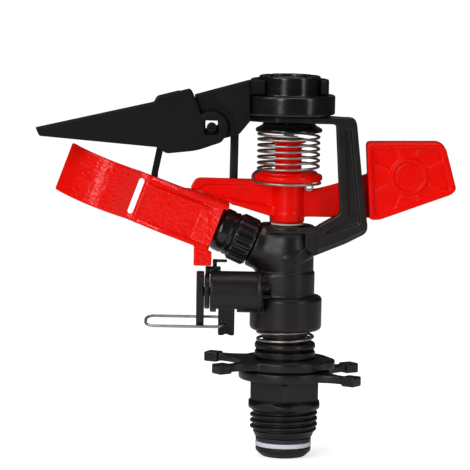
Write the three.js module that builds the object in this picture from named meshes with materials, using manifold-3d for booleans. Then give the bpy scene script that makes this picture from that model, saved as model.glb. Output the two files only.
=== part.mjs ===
// Impact sprinkler head for a half-inch riser, in millimetres, +Z up.
// The thread axis is the Z axis and Z = 0 is the inlet end of the bearing tube.
// X runs from the nozzle side (-X) to the counterweight side (+X).

import * as THREE from 'three';
import { mergeVertices } from 'three/addons/utils/BufferGeometryUtils.js';
import Module from 'manifold-3d';

const wasm = await Module();
wasm.setup();

// ---------------------------------------------------------------- clearances
const RUN = 0.3; // between pieces that move past each other
const SEAT = 0.2; // between fixed pieces that seat on each other

// ------------------------------------------- bearing nipple and bearing tube
const THREAD = { crest: 10.48, root: 9.32, pitch: 1.814, length: 7.4 };
const TUBE = { bore: 5.2, wall: 1.7, flange: 8.6, flangeThick: 3.1, flangeChamfer: 2.0 };
const WASHER = { radius: 8.7, white: 1.4, rubber: 1.2 };
const NECK = { radius: 8.9, length: 1.1 };
const BEAD = { radius: 11.7, height: 3.2, face: 10.6, flare: 0.8 };
const HEX = { corner: 12.1, height: 6.0 };

// -------------------------------------------------------------- trip collars
const COLLAR = { radius: 14.3, height: 3.1, wall: 5.6, reach: 27, lobe: 5.0 };
const FINGER = { tip: 4.6, width: 3.0, height: 2.0 };
const LOWER_ANGLES = [-34.6, 34.6];
const UPPER_ANGLES = [154, 218];
const RETAINER = { radius: 9.4, height: 2.0 };
const THRUST = { radius: 9.5, height: 2.4 };

// ----------------------------------------------------------------- main body
const BEARING_SPRING = { wire: 0.9, turns: 4.6, height: 9.6 };
const SKIRT = { radius: 11.15, height: 10.7, wall: 1.3, lift: 3.8, chamfer: 1.4 };
const WAIST = { radius: 8.8, height: 7.5, neck: 8.4 };
const SADDLE = { radius: 8.4, top: 72.3, thick: 2.1 };
const SHAFT = { radius: 1.6, top: 116 };

// ------------------------------------------------- nozzle barrel and its nut
const NOZZLE_TILT = 24; // degrees above level
const NOZZLE = { barrel: 7.0, spigot: 5.6, bore: 4.6, tip: 6.85, orifice: 2.2, tipLength: 3.9 };
const NUT = { radius: 7.1, length: 6.5, ribs: 18, rib: 0.45, centreX: -13.6, centreZ: 67.6 };

// -------------------------------------------------------------------- bridge
const BAR = { bottom: 104.2, thick: 2.1, left: -18.0, right: 20.6 };
const UPRIGHT = { near: -6.5, far: -1.9, recess: 1.2 };
const STRUT = { near: 3.6, far: 6.4, width: 2.6, x: -16.7 };

// ---------------------------------------------------------------- rocker arm
const HUB = { radius: 5.1, bottom: 73.3, sleeve: 4.1, collar: 5.3, top: 99.2 };
const DISC = { radius: 10.6, bottom: 86, height: 3 };
const BUSHING = { radius: 2.5, wall: 0.6 };
const WEB = { half: 1.5, bottom: 74.8 };
const WEIGHT = { half: 5.2, rim: 1.6, recess: 1.5, ring: 5.7 };
const SPOON = { tilt: 20.1, riseAtAxis: 63.9, half: 7.7, wall: 1.5, start: 23.0, slot: 49.8, end: 74 };
const SPOON_DEPTH = { wallFar: -4.9, flangeNear: -8.6, flangeThick: 1.5, slotWidth: 1.7, slotHalf: 5.7 };
const SPOON_BEND = { from: 29.5, to: 23.2, far: -7.2 }; // the wall leans forward beside the nozzle
const VANE = { centre: 58.9, centreY: 9, radius: 17 };
const FOOT = { left: -28.6, right: -23.2, near: -10.6, far: -7.0, bottom: 60.4 };
const ARM_SPRING = { radius: 9.4, wire: 0.8, turns: 6.6 };

// ---------------------------------------------------------------- spring cap
const CAP = { radius: 14.1, tier: 5.9, hub: 9.5, hubHeight: 5.9, neck: 3.8, gap: 0.5 };
const UPPER_SEAT = { radius: 10.3, top: 8.0, height: 2.7, lip: 1.0 };

// ----------------------------------------------------------------- deflector
const BLADE = { near: -9.0, far: -6.8, shelfFar: 6.0, shelf: 1.8 };
const PIVOT = { x: -23.8, z: 102.8, pin: 1.2, head: 1.8, boss: 5.0, window: 4.4 };
const BRACKET = { near: -9.0, mid: -6.5, far: -4.7, ring: 12.1, ringHeight: 4.6 };
const JET_FINGER = { near: -1.4, far: 1.6, bottom: 78.6 };

// ------------------------------------------------------------ trip mechanism
const TRIP = { y: -9, z: 52.3, barrel: 6.35, bore: 4.9, left: -23.5, right: -7.4, wall: 1.6 };
const TRIP_REST = 20; // degrees of tilt of lever and tab at rest
const TRIP_TRAVEL = 40;
const TRIP_SHAFT = { radius: 1.3 };
const TAB = { left: -20.9, right: -15.8, thick: 2.4, length: 14.9, hub: 4.3 };
const LEVER = { thick: 2.4, width: 5.0, top: 6.6, bottom: 11.8, hub: 3.6 };
const PAWL = { thick: 1.2, hub: 3.4, strap: 1.1, height: 10.5, near: 2.6, far: 5.0, left: -22.7, right: -20.3 };
const TRIP_WIRE = { radius: 0.475, drop: 10.6, legs: 3.3, pivotX: -19.3, end: -43.2, bend: 1.1 };
const TOGGLE = { radius: 3.4, wire: 0.6, turns: 3 };

const DEG = Math.PI / 180;

// ---------------------------------------------------------------- materials
const FINISHES = {
  blackPlastic: { color: 0x1a171b, roughness: 0.45, metalness: 0 },
  redPlastic: { color: 0xe81008, roughness: 0.35, metalness: 0 },
  whitePolymer: { color: 0xe9eaf2, roughness: 0.5, metalness: 0 },
  blackRubber: { color: 0x141414, roughness: 0.8, metalness: 0 },
  acetal: { color: 0xd8d4c8, roughness: 0.5, metalness: 0 },
  steel: { color: 0xb4b6ba, roughness: 0.28, metalness: 1 },
};

// -------------------------------------------------------- solids and cutting

/** A closed three.js geometry as a solid; inside-out triangles are turned over. */
function solid(geometry) {
  const bare = geometry.clone();
  bare.deleteAttribute('normal');
  bare.deleteAttribute('uv');
  const merged = mergeVertices(bare, 1e-4);
  const points = merged.attributes.position.array;
  const index = merged.index.array;
  const triangles = [];
  let volume = 0;
  for (let i = 0; i < index.length; i += 3) {
    const [a, b, c] = [index[i], index[i + 1], index[i + 2]];
    if (a === b || b === c || c === a) continue;
    triangles.push(a, b, c);
    const [p, q, r] = [a, b, c].map((n) => new THREE.Vector3().fromArray(points, 3 * n));
    volume += p.dot(q.cross(r));
  }
  if (volume < 0) triangles.reverse();
  const mesh = { numProp: 3, vertProperties: new Float32Array(points), triVerts: new Uint32Array(triangles) };
  return new wasm.Manifold(new wasm.Mesh(mesh));
}

/** The first piece with all the others joined to it. */
function join(first, ...others) {
  return others.reduce((whole, piece) => whole.add(piece), first);
}

/** The first piece with all the others cut away. */
function cut(first, ...others) {
  return others.reduce((whole, piece) => whole.subtract(piece), first);
}

/** A solid as a named mesh with a material of its own. */
function part(name, body, finish) {
  const { vertProperties, triVerts } = body.getMesh();
  const geometry = new THREE.BufferGeometry();
  geometry.setAttribute('position', new THREE.BufferAttribute(new Float32Array(vertProperties), 3));
  geometry.setIndex(new THREE.BufferAttribute(new Uint32Array(triVerts), 1));
  geometry.computeVertexNormals();
  const mesh = new THREE.Mesh(geometry, new THREE.MeshStandardMaterial(FINISHES[finish]));
  mesh.name = name;
  return mesh;
}

// -------------------------------------------------------------- basic shapes

/** A straight-sided outline; a third value on a point rounds that corner, within its two sides. */
function outline(points) {
  const shape = new THREE.Shape();
  const count = points.length;
  points.forEach(([x, y, wanted = 0], i) => {
    const here = new THREE.Vector2(x, y);
    const before = new THREE.Vector2(...points[(i + count - 1) % count].slice(0, 2)).sub(here);
    const after = new THREE.Vector2(...points[(i + 1) % count].slice(0, 2)).sub(here);
    const round = Math.min(wanted, 0.48 * before.length(), 0.48 * after.length());
    const enter = before.setLength(round).add(here);
    const leave = after.setLength(round).add(here);
    if (i === 0) shape.moveTo(enter.x, enter.y);
    else shape.lineTo(enter.x, enter.y);
    if (round > 0) shape.quadraticCurveTo(x, y, leave.x, leave.y);
  });
  shape.closePath();
  return shape;
}

/** A full circle as an outline. */
function disc(radius, x = 0, y = 0) {
  const shape = new THREE.Shape();
  shape.absarc(x, y, radius, 0, 2 * Math.PI, false);
  return shape;
}

function extruded(shape, depth, curveSegments = 6) {
  return new THREE.ExtrudeGeometry(shape, { depth, bevelEnabled: false, curveSegments });
}

/** An outline in X and Y, solid from one height to another. */
function slabZ(shape, low, high, curveSegments = 6) {
  return solid(extruded(shape, high - low, curveSegments).translate(0, 0, low));
}

/** An outline in X and Z, solid from one depth along Y to another. */
function slabY(shape, near, far, curveSegments = 6) {
  return solid(extruded(shape, far - near, curveSegments).rotateX(Math.PI / 2).translate(0, far, 0));
}

/** An outline in Y and Z, solid from one place along X to another. */
function slabX(shape, left, right, curveSegments = 6) {
  const turn = new THREE.Matrix4().makeBasis(
    new THREE.Vector3(0, 1, 0),
    new THREE.Vector3(0, 0, 1),
    new THREE.Vector3(1, 0, 0),
  );
  return solid(extruded(shape, right - left, curveSegments).applyMatrix4(turn).translate(left, 0, 0));
}

/** A box between two corners. */
function box(x0, x1, y0, y1, z0, z1) {
  const geometry = new THREE.BoxGeometry(x1 - x0, y1 - y0, z1 - z0);
  return solid(geometry.translate((x0 + x1) / 2, (y0 + y1) / 2, (z0 + z1) / 2));
}

/** A profile of [radius, height] points turned about the Z axis. */
function turned(profile, segments = 40) {
  const points = profile.map(([radius, height]) => new THREE.Vector2(radius, height));
  points.push(points[0].clone());
  return solid(new THREE.LatheGeometry(points, segments).rotateX(Math.PI / 2));
}

/** A round bar on the Z axis. */
function rod(radius, low, high, segments = 40) {
  const geometry = new THREE.CylinderGeometry(radius, radius, high - low, segments);
  return solid(geometry.rotateX(Math.PI / 2).translate(0, 0, (low + high) / 2));
}

/** A round bar along X, at the given Y and Z. */
function rodX(radius, left, right, y, z, segments = 32) {
  const geometry = new THREE.CylinderGeometry(radius, radius, right - left, segments);
  return solid(geometry.rotateZ(Math.PI / 2).translate((left + right) / 2, y, z));
}

/** A round bar along Y, at the given X and Z. */
function rodY(radius, near, far, x, z, segments = 32) {
  const geometry = new THREE.CylinderGeometry(radius, radius, far - near, segments);
  return solid(geometry.translate(x, (near + far) / 2, z));
}

/** A helix about Z whose frame keeps pointing outward, so that a section never twists. */
class Helix extends THREE.Curve {
  constructor(radius, bottom, height, turns) {
    super();
    Object.assign(this, { radius, bottom, height, turns });
  }

  getPoint(t, target = new THREE.Vector3()) {
    const angle = t * this.turns * 2 * Math.PI;
    const rise = this.bottom + t * this.height;
    return target.set(this.radius * Math.cos(angle), this.radius * Math.sin(angle), rise);
  }

  getPointAt(t, target) {
    return this.getPoint(t, target);
  }

  computeFrenetFrames(steps) {
    const frames = { tangents: [], normals: [], binormals: [] };
    for (let i = 0; i <= steps; i++) {
      const angle = (i / steps) * this.turns * 2 * Math.PI;
      frames.normals.push(new THREE.Vector3(Math.cos(angle), Math.sin(angle), 0));
      frames.binormals.push(new THREE.Vector3(0, 0, 1));
      frames.tangents.push(new THREE.Vector3(-Math.sin(angle), Math.cos(angle), 0));
    }
    return frames;
  }
}

/** A path through listed points, with one step of the sweep at each of them. */
class Route extends THREE.Curve {
  constructor(points) {
    super();
    this.points = points;
  }

  getUtoTmapping(u) {
    return u;
  }

  getPoint(t, target = new THREE.Vector3()) {
    const place = Math.min(Math.max(t, 0), 1) * (this.points.length - 1);
    const before = Math.min(Math.floor(place), this.points.length - 2);
    return target.lerpVectors(this.points[before], this.points[before + 1], place - before);
  }
}

/** The round section of a wire, as a polygon. */
function wireSection(radius, sides) {
  return outline(Array.from({ length: sides }, (_, i) => {
    const angle = (i / sides) * 2 * Math.PI;
    return [radius * Math.cos(angle), radius * Math.sin(angle)];
  }));
}

/** Round wire bent through listed points. */
function wire(points, radius, sides) {
  const options = { steps: points.length - 1, bevelEnabled: false, extrudePath: new Route(points) };
  return solid(new THREE.ExtrudeGeometry(wireSection(radius, sides), options));
}

/** A coil spring of round wire on the Z axis, between two heights. */
function coil(radius, wireWidth, low, high, turns, stepsPerTurn = 18, sides = 6) {
  const path = new Helix(radius, low + wireWidth / 2, high - low - wireWidth, turns);
  const options = { steps: Math.round(turns * stepsPerTurn), bevelEnabled: false, extrudePath: path };
  return solid(new THREE.ExtrudeGeometry(wireSection(wireWidth / 2, sides), options));
}

// ---------------------------------------------------- heights up the Z axis
const tubeOuter = TUBE.bore + TUBE.wall;
const whiteBottom = TUBE.flangeThick + SEAT;
const rubberBottom = whiteBottom + WASHER.white + SEAT;
const nippleBottom = rubberBottom + WASHER.rubber + SEAT;
const threadBottom = nippleBottom + NECK.length;
const beadBottom = threadBottom + THREAD.length;
const hexBottom = beadBottom + BEAD.height;
const hexTop = hexBottom + HEX.height;
const lowerCollar = hexTop + RUN;
const upperCollar = lowerCollar + COLLAR.height + RUN;
const retainerBottom = upperCollar + COLLAR.height + RUN;
const nippleTop = retainerBottom + RETAINER.height + SEAT;
const thrustTop = nippleTop + SEAT + THRUST.height;
const collarSeat = COLLAR.radius - COLLAR.wall; // radius of the nipple under the collars
const skirtBottom = thrustTop + SKIRT.lift;
const skirtTop = skirtBottom + SKIRT.height;
const bearingSpringTop = thrustTop + RUN + BEARING_SPRING.height;
const waistTop = skirtTop + WAIST.height;
const bodyFloor = bearingSpringTop + RUN; // underside of the body inside the skirt
const tubeTop = bodyFloor + 2.4;

// ------------------------------------------------ the nozzle's slanting axis
const nozzleDirection = new THREE.Vector3(-Math.cos(NOZZLE_TILT * DEG), 0, Math.sin(NOZZLE_TILT * DEG));
const nutCentre = new THREE.Vector3(NUT.centreX, 0, NUT.centreZ);

/** A profile of [radius, distance along the nozzle axis from the nut's middle], turned about that axis. */
function alongNozzle(body) {
  const turn = new THREE.Quaternion().setFromUnitVectors(new THREE.Vector3(0, 0, 1), nozzleDirection);
  const matrix = new THREE.Matrix4().compose(nutCentre, turn, new THREE.Vector3(1, 1, 1));
  return body.transform(matrix.toArray());
}

const nutBack = -NUT.length / 2;
const nutFront = NUT.length / 2;
const tipBack = nutFront + SEAT;
const tipFront = tipBack + NOZZLE.tipLength;

/** The room kept free around the nut and the nozzle tip. */
function nozzleRoom() {
  return alongNozzle(rod(NUT.radius + NUT.rib + RUN, nutBack - RUN, tipFront + RUN));
}

// ------------------------------------------------------------- nipple pieces

/** The external thread, a ridge wound on the nipple's core. */
function threadRidge() {
  const depth = THREAD.crest - THREAD.root;
  const flank = THREAD.pitch * 0.42;
  const ridge = outline([
    [-0.6, -flank],
    [depth, -0.13],
    [depth, 0.13],
    [-0.6, flank],
  ]);
  const height = THREAD.length - THREAD.pitch * 0.9;
  const turns = height / THREAD.pitch;
  const path = new Helix(THREAD.root, threadBottom + THREAD.pitch * 0.45, height, turns);
  const steps = Math.round(turns * 28);
  return solid(new THREE.ExtrudeGeometry(ridge, { steps, bevelEnabled: false, extrudePath: path }));
}

/** A hexagonal prism with two corners on the Y axis. */
function hexagon(corner, low, high) {
  const shape = outline([0, 1, 2, 3, 4, 5].map((i) => {
    const angle = (30 + 60 * i) * DEG;
    return [corner * Math.cos(angle), corner * Math.sin(angle), 0.5];
  }));
  return slabZ(shape, low, high, 2);
}

function bearingNipple() {
  const core = turned([
    [tubeOuter + RUN, nippleBottom],
    [NECK.radius, nippleBottom],
    [THREAD.root, threadBottom],
    [THREAD.root, beadBottom - BEAD.flare],
    [BEAD.face, beadBottom],
    [BEAD.radius - 0.4, beadBottom],
    [BEAD.radius, beadBottom + 1.0],
    [BEAD.radius, hexBottom - 1.2],
    [BEAD.radius - 1.4, hexBottom],
    [collarSeat - RUN, hexBottom],
    [collarSeat - RUN, nippleTop],
    [tubeOuter + RUN, nippleTop],
  ]);
  const prism = cut(hexagon(HEX.corner, hexBottom - 0.5, hexTop), rod(collarSeat - 1, hexBottom - 1, hexTop + 1));
  const grooves = [0, 180].map((angle) => box(-1.6, 1.6, 9.6, 13, hexBottom + 0.6, hexBottom + 2.2).rotate([0, 0, angle - 90]));
  return cut(join(core, threadRidge(), prism), ...grooves);
}

/** One friction collar: a split ring with two trip fingers and a clamping lobe. */
function tripCollar(bottom, angles, lobeAngle) {
  const ring = turned([
    [collarSeat, bottom],
    [COLLAR.radius - 0.6, bottom],
    [COLLAR.radius, bottom + 0.6],
    [COLLAR.radius, bottom + COLLAR.height - 0.8],
    [COLLAR.radius - 1.0, bottom + COLLAR.height],
    [collarSeat, bottom + COLLAR.height],
  ], 44);
  const along = (body, angle) => body.rotate([0, 0, angle]);
  const armLow = bottom + 0.4;
  const fingers = angles.flatMap((angle) => {
    const arm = slabZ(outline([
      [collarSeat + 2, -FINGER.width],
      [COLLAR.radius + 1.5, -FINGER.width / 2],
      [COLLAR.reach - 1, -FINGER.width / 2],
      [COLLAR.reach - 1, FINGER.width / 2],
      [COLLAR.radius + 1.5, FINGER.width / 2],
      [collarSeat + 2, FINGER.width],
    ]), armLow, armLow + FINGER.height);
    const half = FINGER.tip / 2;
    const tip = slabZ(outline([
      [COLLAR.reach - FINGER.tip, -half, 0.4],
      [COLLAR.reach, -half, 0.4],
      [COLLAR.reach, half, 0.4],
      [COLLAR.reach - FINGER.tip, half, 0.4],
    ]), bottom, bottom + COLLAR.height, 2);
    return [along(arm, angle), along(tip, angle)];
  });
  const lobe = slabZ(disc(COLLAR.lobe, COLLAR.radius - COLLAR.lobe + 1.4, 0), bottom, bottom + COLLAR.height, 8);
  const split = box(collarSeat - 1, COLLAR.radius + 3, -0.4, 0.4, bottom - 1, bottom + COLLAR.height + 1);
  const bore = rod(collarSeat, bottom - 1, bottom + COLLAR.height + 1, 44);
  return cut(join(ring, ...fingers, along(lobe, lobeAngle)), bore, along(split, lobeAngle));
}

function collarRetainer() {
  return turned([
    [collarSeat - RUN + SEAT, retainerBottom],
    [RETAINER.radius, retainerBottom],
    [RETAINER.radius, retainerBottom + RETAINER.height - 0.7],
    [RETAINER.radius - 0.7, retainerBottom + RETAINER.height],
    [collarSeat - RUN + SEAT, retainerBottom + RETAINER.height],
  ]);
}

function thrustWasher() {
  const bottom = nippleTop + SEAT;
  return turned([
    [tubeOuter + RUN, bottom],
    [THRUST.radius - 0.6, bottom],
    [THRUST.radius, bottom + 0.6],
    [THRUST.radius, thrustTop - 0.8],
    [THRUST.radius - 0.8, thrustTop],
    [tubeOuter + RUN, thrustTop],
  ]);
}

/** A flat washer round the bearing tube. */
function tubeWasher(bottom, height) {
  return turned([
    [tubeOuter + SEAT, bottom],
    [WASHER.radius, bottom],
    [WASHER.radius, bottom + height],
    [tubeOuter + SEAT, bottom + height],
  ]);
}

/** The tube that the head turns on, with the flange that keeps it in the nipple. */
function inletTube() {
  return turned([
    [TUBE.bore, 0],
    [TUBE.flange - TUBE.flangeChamfer, 0],
    [TUBE.flange, TUBE.flangeChamfer * 0.9],
    [TUBE.flange, TUBE.flangeThick],
    [tubeOuter, TUBE.flangeThick],
    [tubeOuter, tubeTop],
    [TUBE.bore, tubeTop],
  ]);
}

function bearingSpring() {
  const radius = tubeOuter + RUN + 1.4;
  return coil(radius, BEARING_SPRING.wire, thrustTop + RUN, bearingSpringTop, BEARING_SPRING.turns, 18, 6);
}

// ----------------------------------------------------------------- main body
const waistMeetsBarrel = 63.8;

function mainBody() {
  const shell = turned([
    [0, bodyFloor],
    [SKIRT.radius - SKIRT.wall, bodyFloor],
    [SKIRT.radius - SKIRT.wall, skirtBottom],
    [SKIRT.radius - 0.5, skirtBottom],
    [SKIRT.radius, skirtBottom + SKIRT.chamfer],
    [SKIRT.radius, skirtTop - 1.6],
    [SKIRT.radius - 0.5, skirtTop - 0.5],
    [SKIRT.radius - 1.6, skirtTop],
    [WAIST.radius, skirtTop + 0.2],
    [WAIST.radius, waistTop],
    [WAIST.neck, waistTop + 0.3],
    [WAIST.neck, waistMeetsBarrel],
    [WAIST.neck - 0.8, SADDLE.top - SADDLE.thick - 1],
    [SADDLE.radius, SADDLE.top - SADDLE.thick],
    [SADDLE.radius, SADDLE.top],
    [0, SADDLE.top],
  ], 48);
  const barrelBack = -Math.abs(NUT.centreX) / Math.cos(NOZZLE_TILT * DEG);
  const barrel = alongNozzle(join(
    rod(NOZZLE.barrel, barrelBack, nutBack - RUN),
    rod(NOZZLE.spigot, nutBack - 1, nutFront - 0.5),
  ));
  const tripBarrel = rodX(TRIP.barrel, TRIP.left, TRIP.right, TRIP.y, TRIP.z, 36);
  const gusset = box(-13.5, 0, TRIP.y + 1, -2, TRIP.z - 5.2, TRIP.z + 5.4);
  const lug = box(STRUT.x + 8.4, -4, 0, STRUT.far, SADDLE.top - 5, SADDLE.top);
  const outer = join(shell, barrel, tripBarrel, gusset, lug);

  const tripBore = rodX(TRIP.bore, TRIP.left - 1, TRIP.right - TRIP.wall, TRIP.y, TRIP.z);
  const shaftHole = rodX(TRIP_SHAFT.radius + RUN, TRIP.right - 3, TRIP.right + 1, TRIP.y, TRIP.z, 20);
  const tabSlot = tripSlot();
  const waterway = join(
    rod(tubeOuter + SEAT, bodyFloor - 1, tubeTop + SEAT),
    rod(TUBE.bore, tubeTop, waistMeetsBarrel + 0.5),
    alongNozzle(rod(NOZZLE.bore, barrelBack, nutFront + 1)),
  );
  const shaftSocket = rod(SHAFT.radius + SEAT, shaftBottom - SEAT, SADDLE.top + 1, 24);
  const spigotRoom = cut(nozzleRoom(), alongNozzle(rod(NOZZLE.spigot, nutBack - 2, nutFront)));
  return cut(outer, spigotRoom, tripBore, shaftHole, tabSlot, waterway, shaftSocket);
}

/** The mouth in the bottom of the trip barrel that lets the tab swing. */
function tripSlot() {
  const reach = TRIP.barrel + 2;
  const half = (TRIP_REST + TRIP_TRAVEL / 2 - 6) * DEG;
  const wedge = outline([
    [TRIP.y - reach * Math.tan(half), TRIP.z - reach],
    [TRIP.y + reach * Math.tan(half), TRIP.z - reach],
    [TRIP.y + 1.6, TRIP.z - 1],
    [TRIP.y - 1.6, TRIP.z - 1],
  ]);
  return slabX(wedge, TAB.left - RUN * 2, TAB.right + RUN * 2);
}

const shaftBottom = SADDLE.top - 4.6;

/** The bridge over the arm: upright in front, top bar, and strut behind. */
function bridgeFrame() {
  const barTop = BAR.bottom + BAR.thick;
  const side = outline([
    [14.3, BAR.bottom, 1.6],
    [16.0, 76.6, 1.0],
    [9.6, SADDLE.top + 0.6, 0.6],
    [8.4, SADDLE.top - 4.6],
    [8.4, 63.4],
    [18.0, 67.4, 1.0],
    [24.9, 71.0, 1.8],
    [22.6, 88.5],
    [BAR.right, barTop, 2.0],
    [12, barTop],
    [12, BAR.bottom],
  ]);
  const upright = slabY(side, UPRIGHT.near, UPRIGHT.far);
  const channel = slabY(outline([
    [15.9, 102.4, 0.6],
    [17.5, 76.2, 0.6],
    [11.4, 71.6, 0.6],
    [11.4, 67.0, 0.6],
    [18.2, 69.6],
    [23.1, 72.4, 0.8],
    [21.2, 88.6],
    [19.4, 102.4, 0.8],
  ]), UPRIGHT.near - 1, UPRIGHT.near + UPRIGHT.recess);
  const bar = slabZ(outline([
    [BAR.left, STRUT.near, 0.6],
    [-9, -3.4],
    [-4, UPRIGHT.near],
    [16.5, UPRIGHT.near],
    [16.5, UPRIGHT.far],
    [8, 4.6],
    [2, STRUT.far],
    [BAR.left, STRUT.far, 0.6],
  ]), BAR.bottom, barTop);
  const half = STRUT.width / 2;
  const strut = slabY(outline([
    [STRUT.x - half, barTop - 0.3],
    [STRUT.x - half - 0.2, 77.9, 1.2],
    [-8.6, 75.4, 0.8],
    [-8.4, SADDLE.top + SEAT],
    [-4.6, SADDLE.top + SEAT],
    [-5.2, 76.4, 0.8],
    [-7.2, 77.5],
    [STRUT.x + half - 0.2, 80.0, 0.8],
    [STRUT.x + half, barTop - 0.3],
  ]), STRUT.near, STRUT.far);
  const neckHole = rod(CAP.neck + RUN, BAR.bottom - 1, barTop + 1, 32);
  return cut(join(upright, bar, strut), channel, neckHole, nozzleRoom());
}

// ------------------------------------------------------------- nozzle pieces

function nozzleNut() {
  const ring = turned([
    [NOZZLE.spigot + SEAT, nutBack],
    [NUT.radius - 0.5, nutBack],
    [NUT.radius, nutBack + 0.5],
    [NUT.radius, nutFront - 0.5],
    [NUT.radius - 0.5, nutFront],
    [NOZZLE.spigot + SEAT, nutFront],
  ], 36);
  const ribs = [];
  for (let i = 0; i < NUT.ribs; i++) {
    const rib = box(NUT.radius - 0.5, NUT.radius + NUT.rib, -0.5, 0.5, nutBack + 0.6, nutFront - 0.6);
    ribs.push(rib.rotate([0, 0, (i * 360) / NUT.ribs]));
  }
  return alongNozzle(join(ring, ...ribs));
}

function nozzle() {
  return alongNozzle(turned([
    [NOZZLE.orifice, tipBack],
    [NOZZLE.tip, tipBack],
    [NOZZLE.tip, tipFront - 0.8],
    [NOZZLE.tip - 0.8, tipFront],
    [NOZZLE.orifice + 1.2, tipFront],
    [NOZZLE.orifice, tipFront - 1.4],
  ], 36));
}

/** The insert that takes the swirl out of the water: four vanes in a thin ring. */
function jetStraightener() {
  const low = nutBack - 6;
  const high = nutBack + 1;
  const outer = NOZZLE.bore - SEAT;
  const ring = turned([
    [outer - 0.7, low],
    [outer, low],
    [outer, high],
    [outer - 0.7, high],
  ], 28);
  const vanes = [0, 90].map((angle) => box(-outer + 0.3, outer - 0.3, -0.35, 0.35, low, high).rotate([0, 0, angle]));
  return alongNozzle(join(ring, ...vanes));
}

// ---------------------------------------------------------------- rocker arm

/** The flat outline of the spoon's own frame, [along, across], placed in X and Z. */
function onSpoon([along, across, ...rest]) {
  const tilt = SPOON.tilt * DEG;
  const x = -along * Math.cos(tilt) + across * Math.sin(tilt);
  const z = SPOON.riseAtAxis + along * Math.sin(tilt) + across * Math.cos(tilt);
  return [x, z, ...rest];
}

/** A plan outline of [along, Y] points, solid across the spoon between two heights. */
function spoonPlan(shape, low, high, curveSegments = 10) {
  const tilt = SPOON.tilt * DEG;
  const place = new THREE.Matrix4().makeBasis(
    new THREE.Vector3(-Math.cos(tilt), 0, Math.sin(tilt)),
    new THREE.Vector3(0, 1, 0),
    new THREE.Vector3(Math.sin(tilt), 0, Math.cos(tilt)),
  );
  const mirrored = extruded(shape, high - low, curveSegments).translate(0, 0, low).applyMatrix4(place);
  return solid(mirrored.translate(0, 0, SPOON.riseAtAxis));
}

function armSpoon() {
  const { centre, centreY, radius } = VANE;
  const { wallFar, flangeNear, flangeThick, slotWidth, slotHalf } = SPOON_DEPTH;
  const outerAngle = (along) => Math.asin((along - centre) / radius);
  const startAngle = outerAngle(SPOON.slot + slotWidth / 2);
  const endAngle = outerAngle(SPOON.end);
  const plan = new THREE.Shape();
  const rimY = (r, angle) => centreY - r * Math.cos(angle);
  const rimX = (r, angle) => centre + r * Math.sin(angle);
  const inner = radius - SPOON.wall;
  plan.moveTo(SPOON_BEND.from, wallFar);
  plan.lineTo(SPOON_BEND.to, SPOON_BEND.far);
  plan.lineTo(SPOON_BEND.to, flangeNear);
  plan.lineTo(SPOON_BEND.from, wallFar - SPOON.wall);
  plan.lineTo(rimX(radius, startAngle) - slotWidth, rimY(radius, startAngle));
  plan.absarc(centre, centreY, radius, startAngle - Math.PI / 2, endAngle - Math.PI / 2, false);
  plan.lineTo(rimX(inner, endAngle), rimY(inner, endAngle));
  plan.absarc(centre, centreY, inner, endAngle - Math.PI / 2, startAngle - Math.PI / 2, true);
  plan.closePath();
  const wall = spoonPlan(plan, -SPOON.half, SPOON.half);

  const flangeEnd = SPOON.slot - slotWidth;
  const top = spoonPlan(outline([
    [SPOON.start - 1.2, WEB.half],
    [SPOON.start - 1.2, flangeNear],
    [flangeEnd - 8, flangeNear, 4],
    [flangeEnd, wallFar - SPOON.wall],
    [flangeEnd, wallFar],
    [37, wallFar + 0.4, 1],
    [35, WEB.half, 1],
  ]), SPOON.half - flangeThick, SPOON.half);
  const bottom = spoonPlan(outline([
    [SPOON_BEND.from, wallFar],
    [SPOON_BEND.to, SPOON_BEND.far],
    [SPOON_BEND.to, flangeNear],
    [flangeEnd - 8, flangeNear, 4],
    [flangeEnd, wallFar - SPOON.wall],
    [flangeEnd, wallFar],
  ]), -SPOON.half, -SPOON.half + flangeThick);
  const foot = box(FOOT.left, FOOT.right - 1.2, FOOT.near, FOOT.far, FOOT.bottom, 66.6);
  const footToe = box(FOOT.right - 1.3, FOOT.right, FOOT.near, FOOT.far, FOOT.bottom, 64.4);
  const slotCentre = SPOON.slot;
  const slot = spoonPlan(outline([
    [slotCentre - slotWidth / 2, -12],
    [slotCentre + slotWidth / 2, -12],
    [slotCentre + slotWidth / 2, 0],
    [slotCentre - slotWidth / 2, 0],
  ]), -slotHalf, slotHalf);
  return cut(join(wall, top, bottom, foot, footToe), slot);
}

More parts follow.
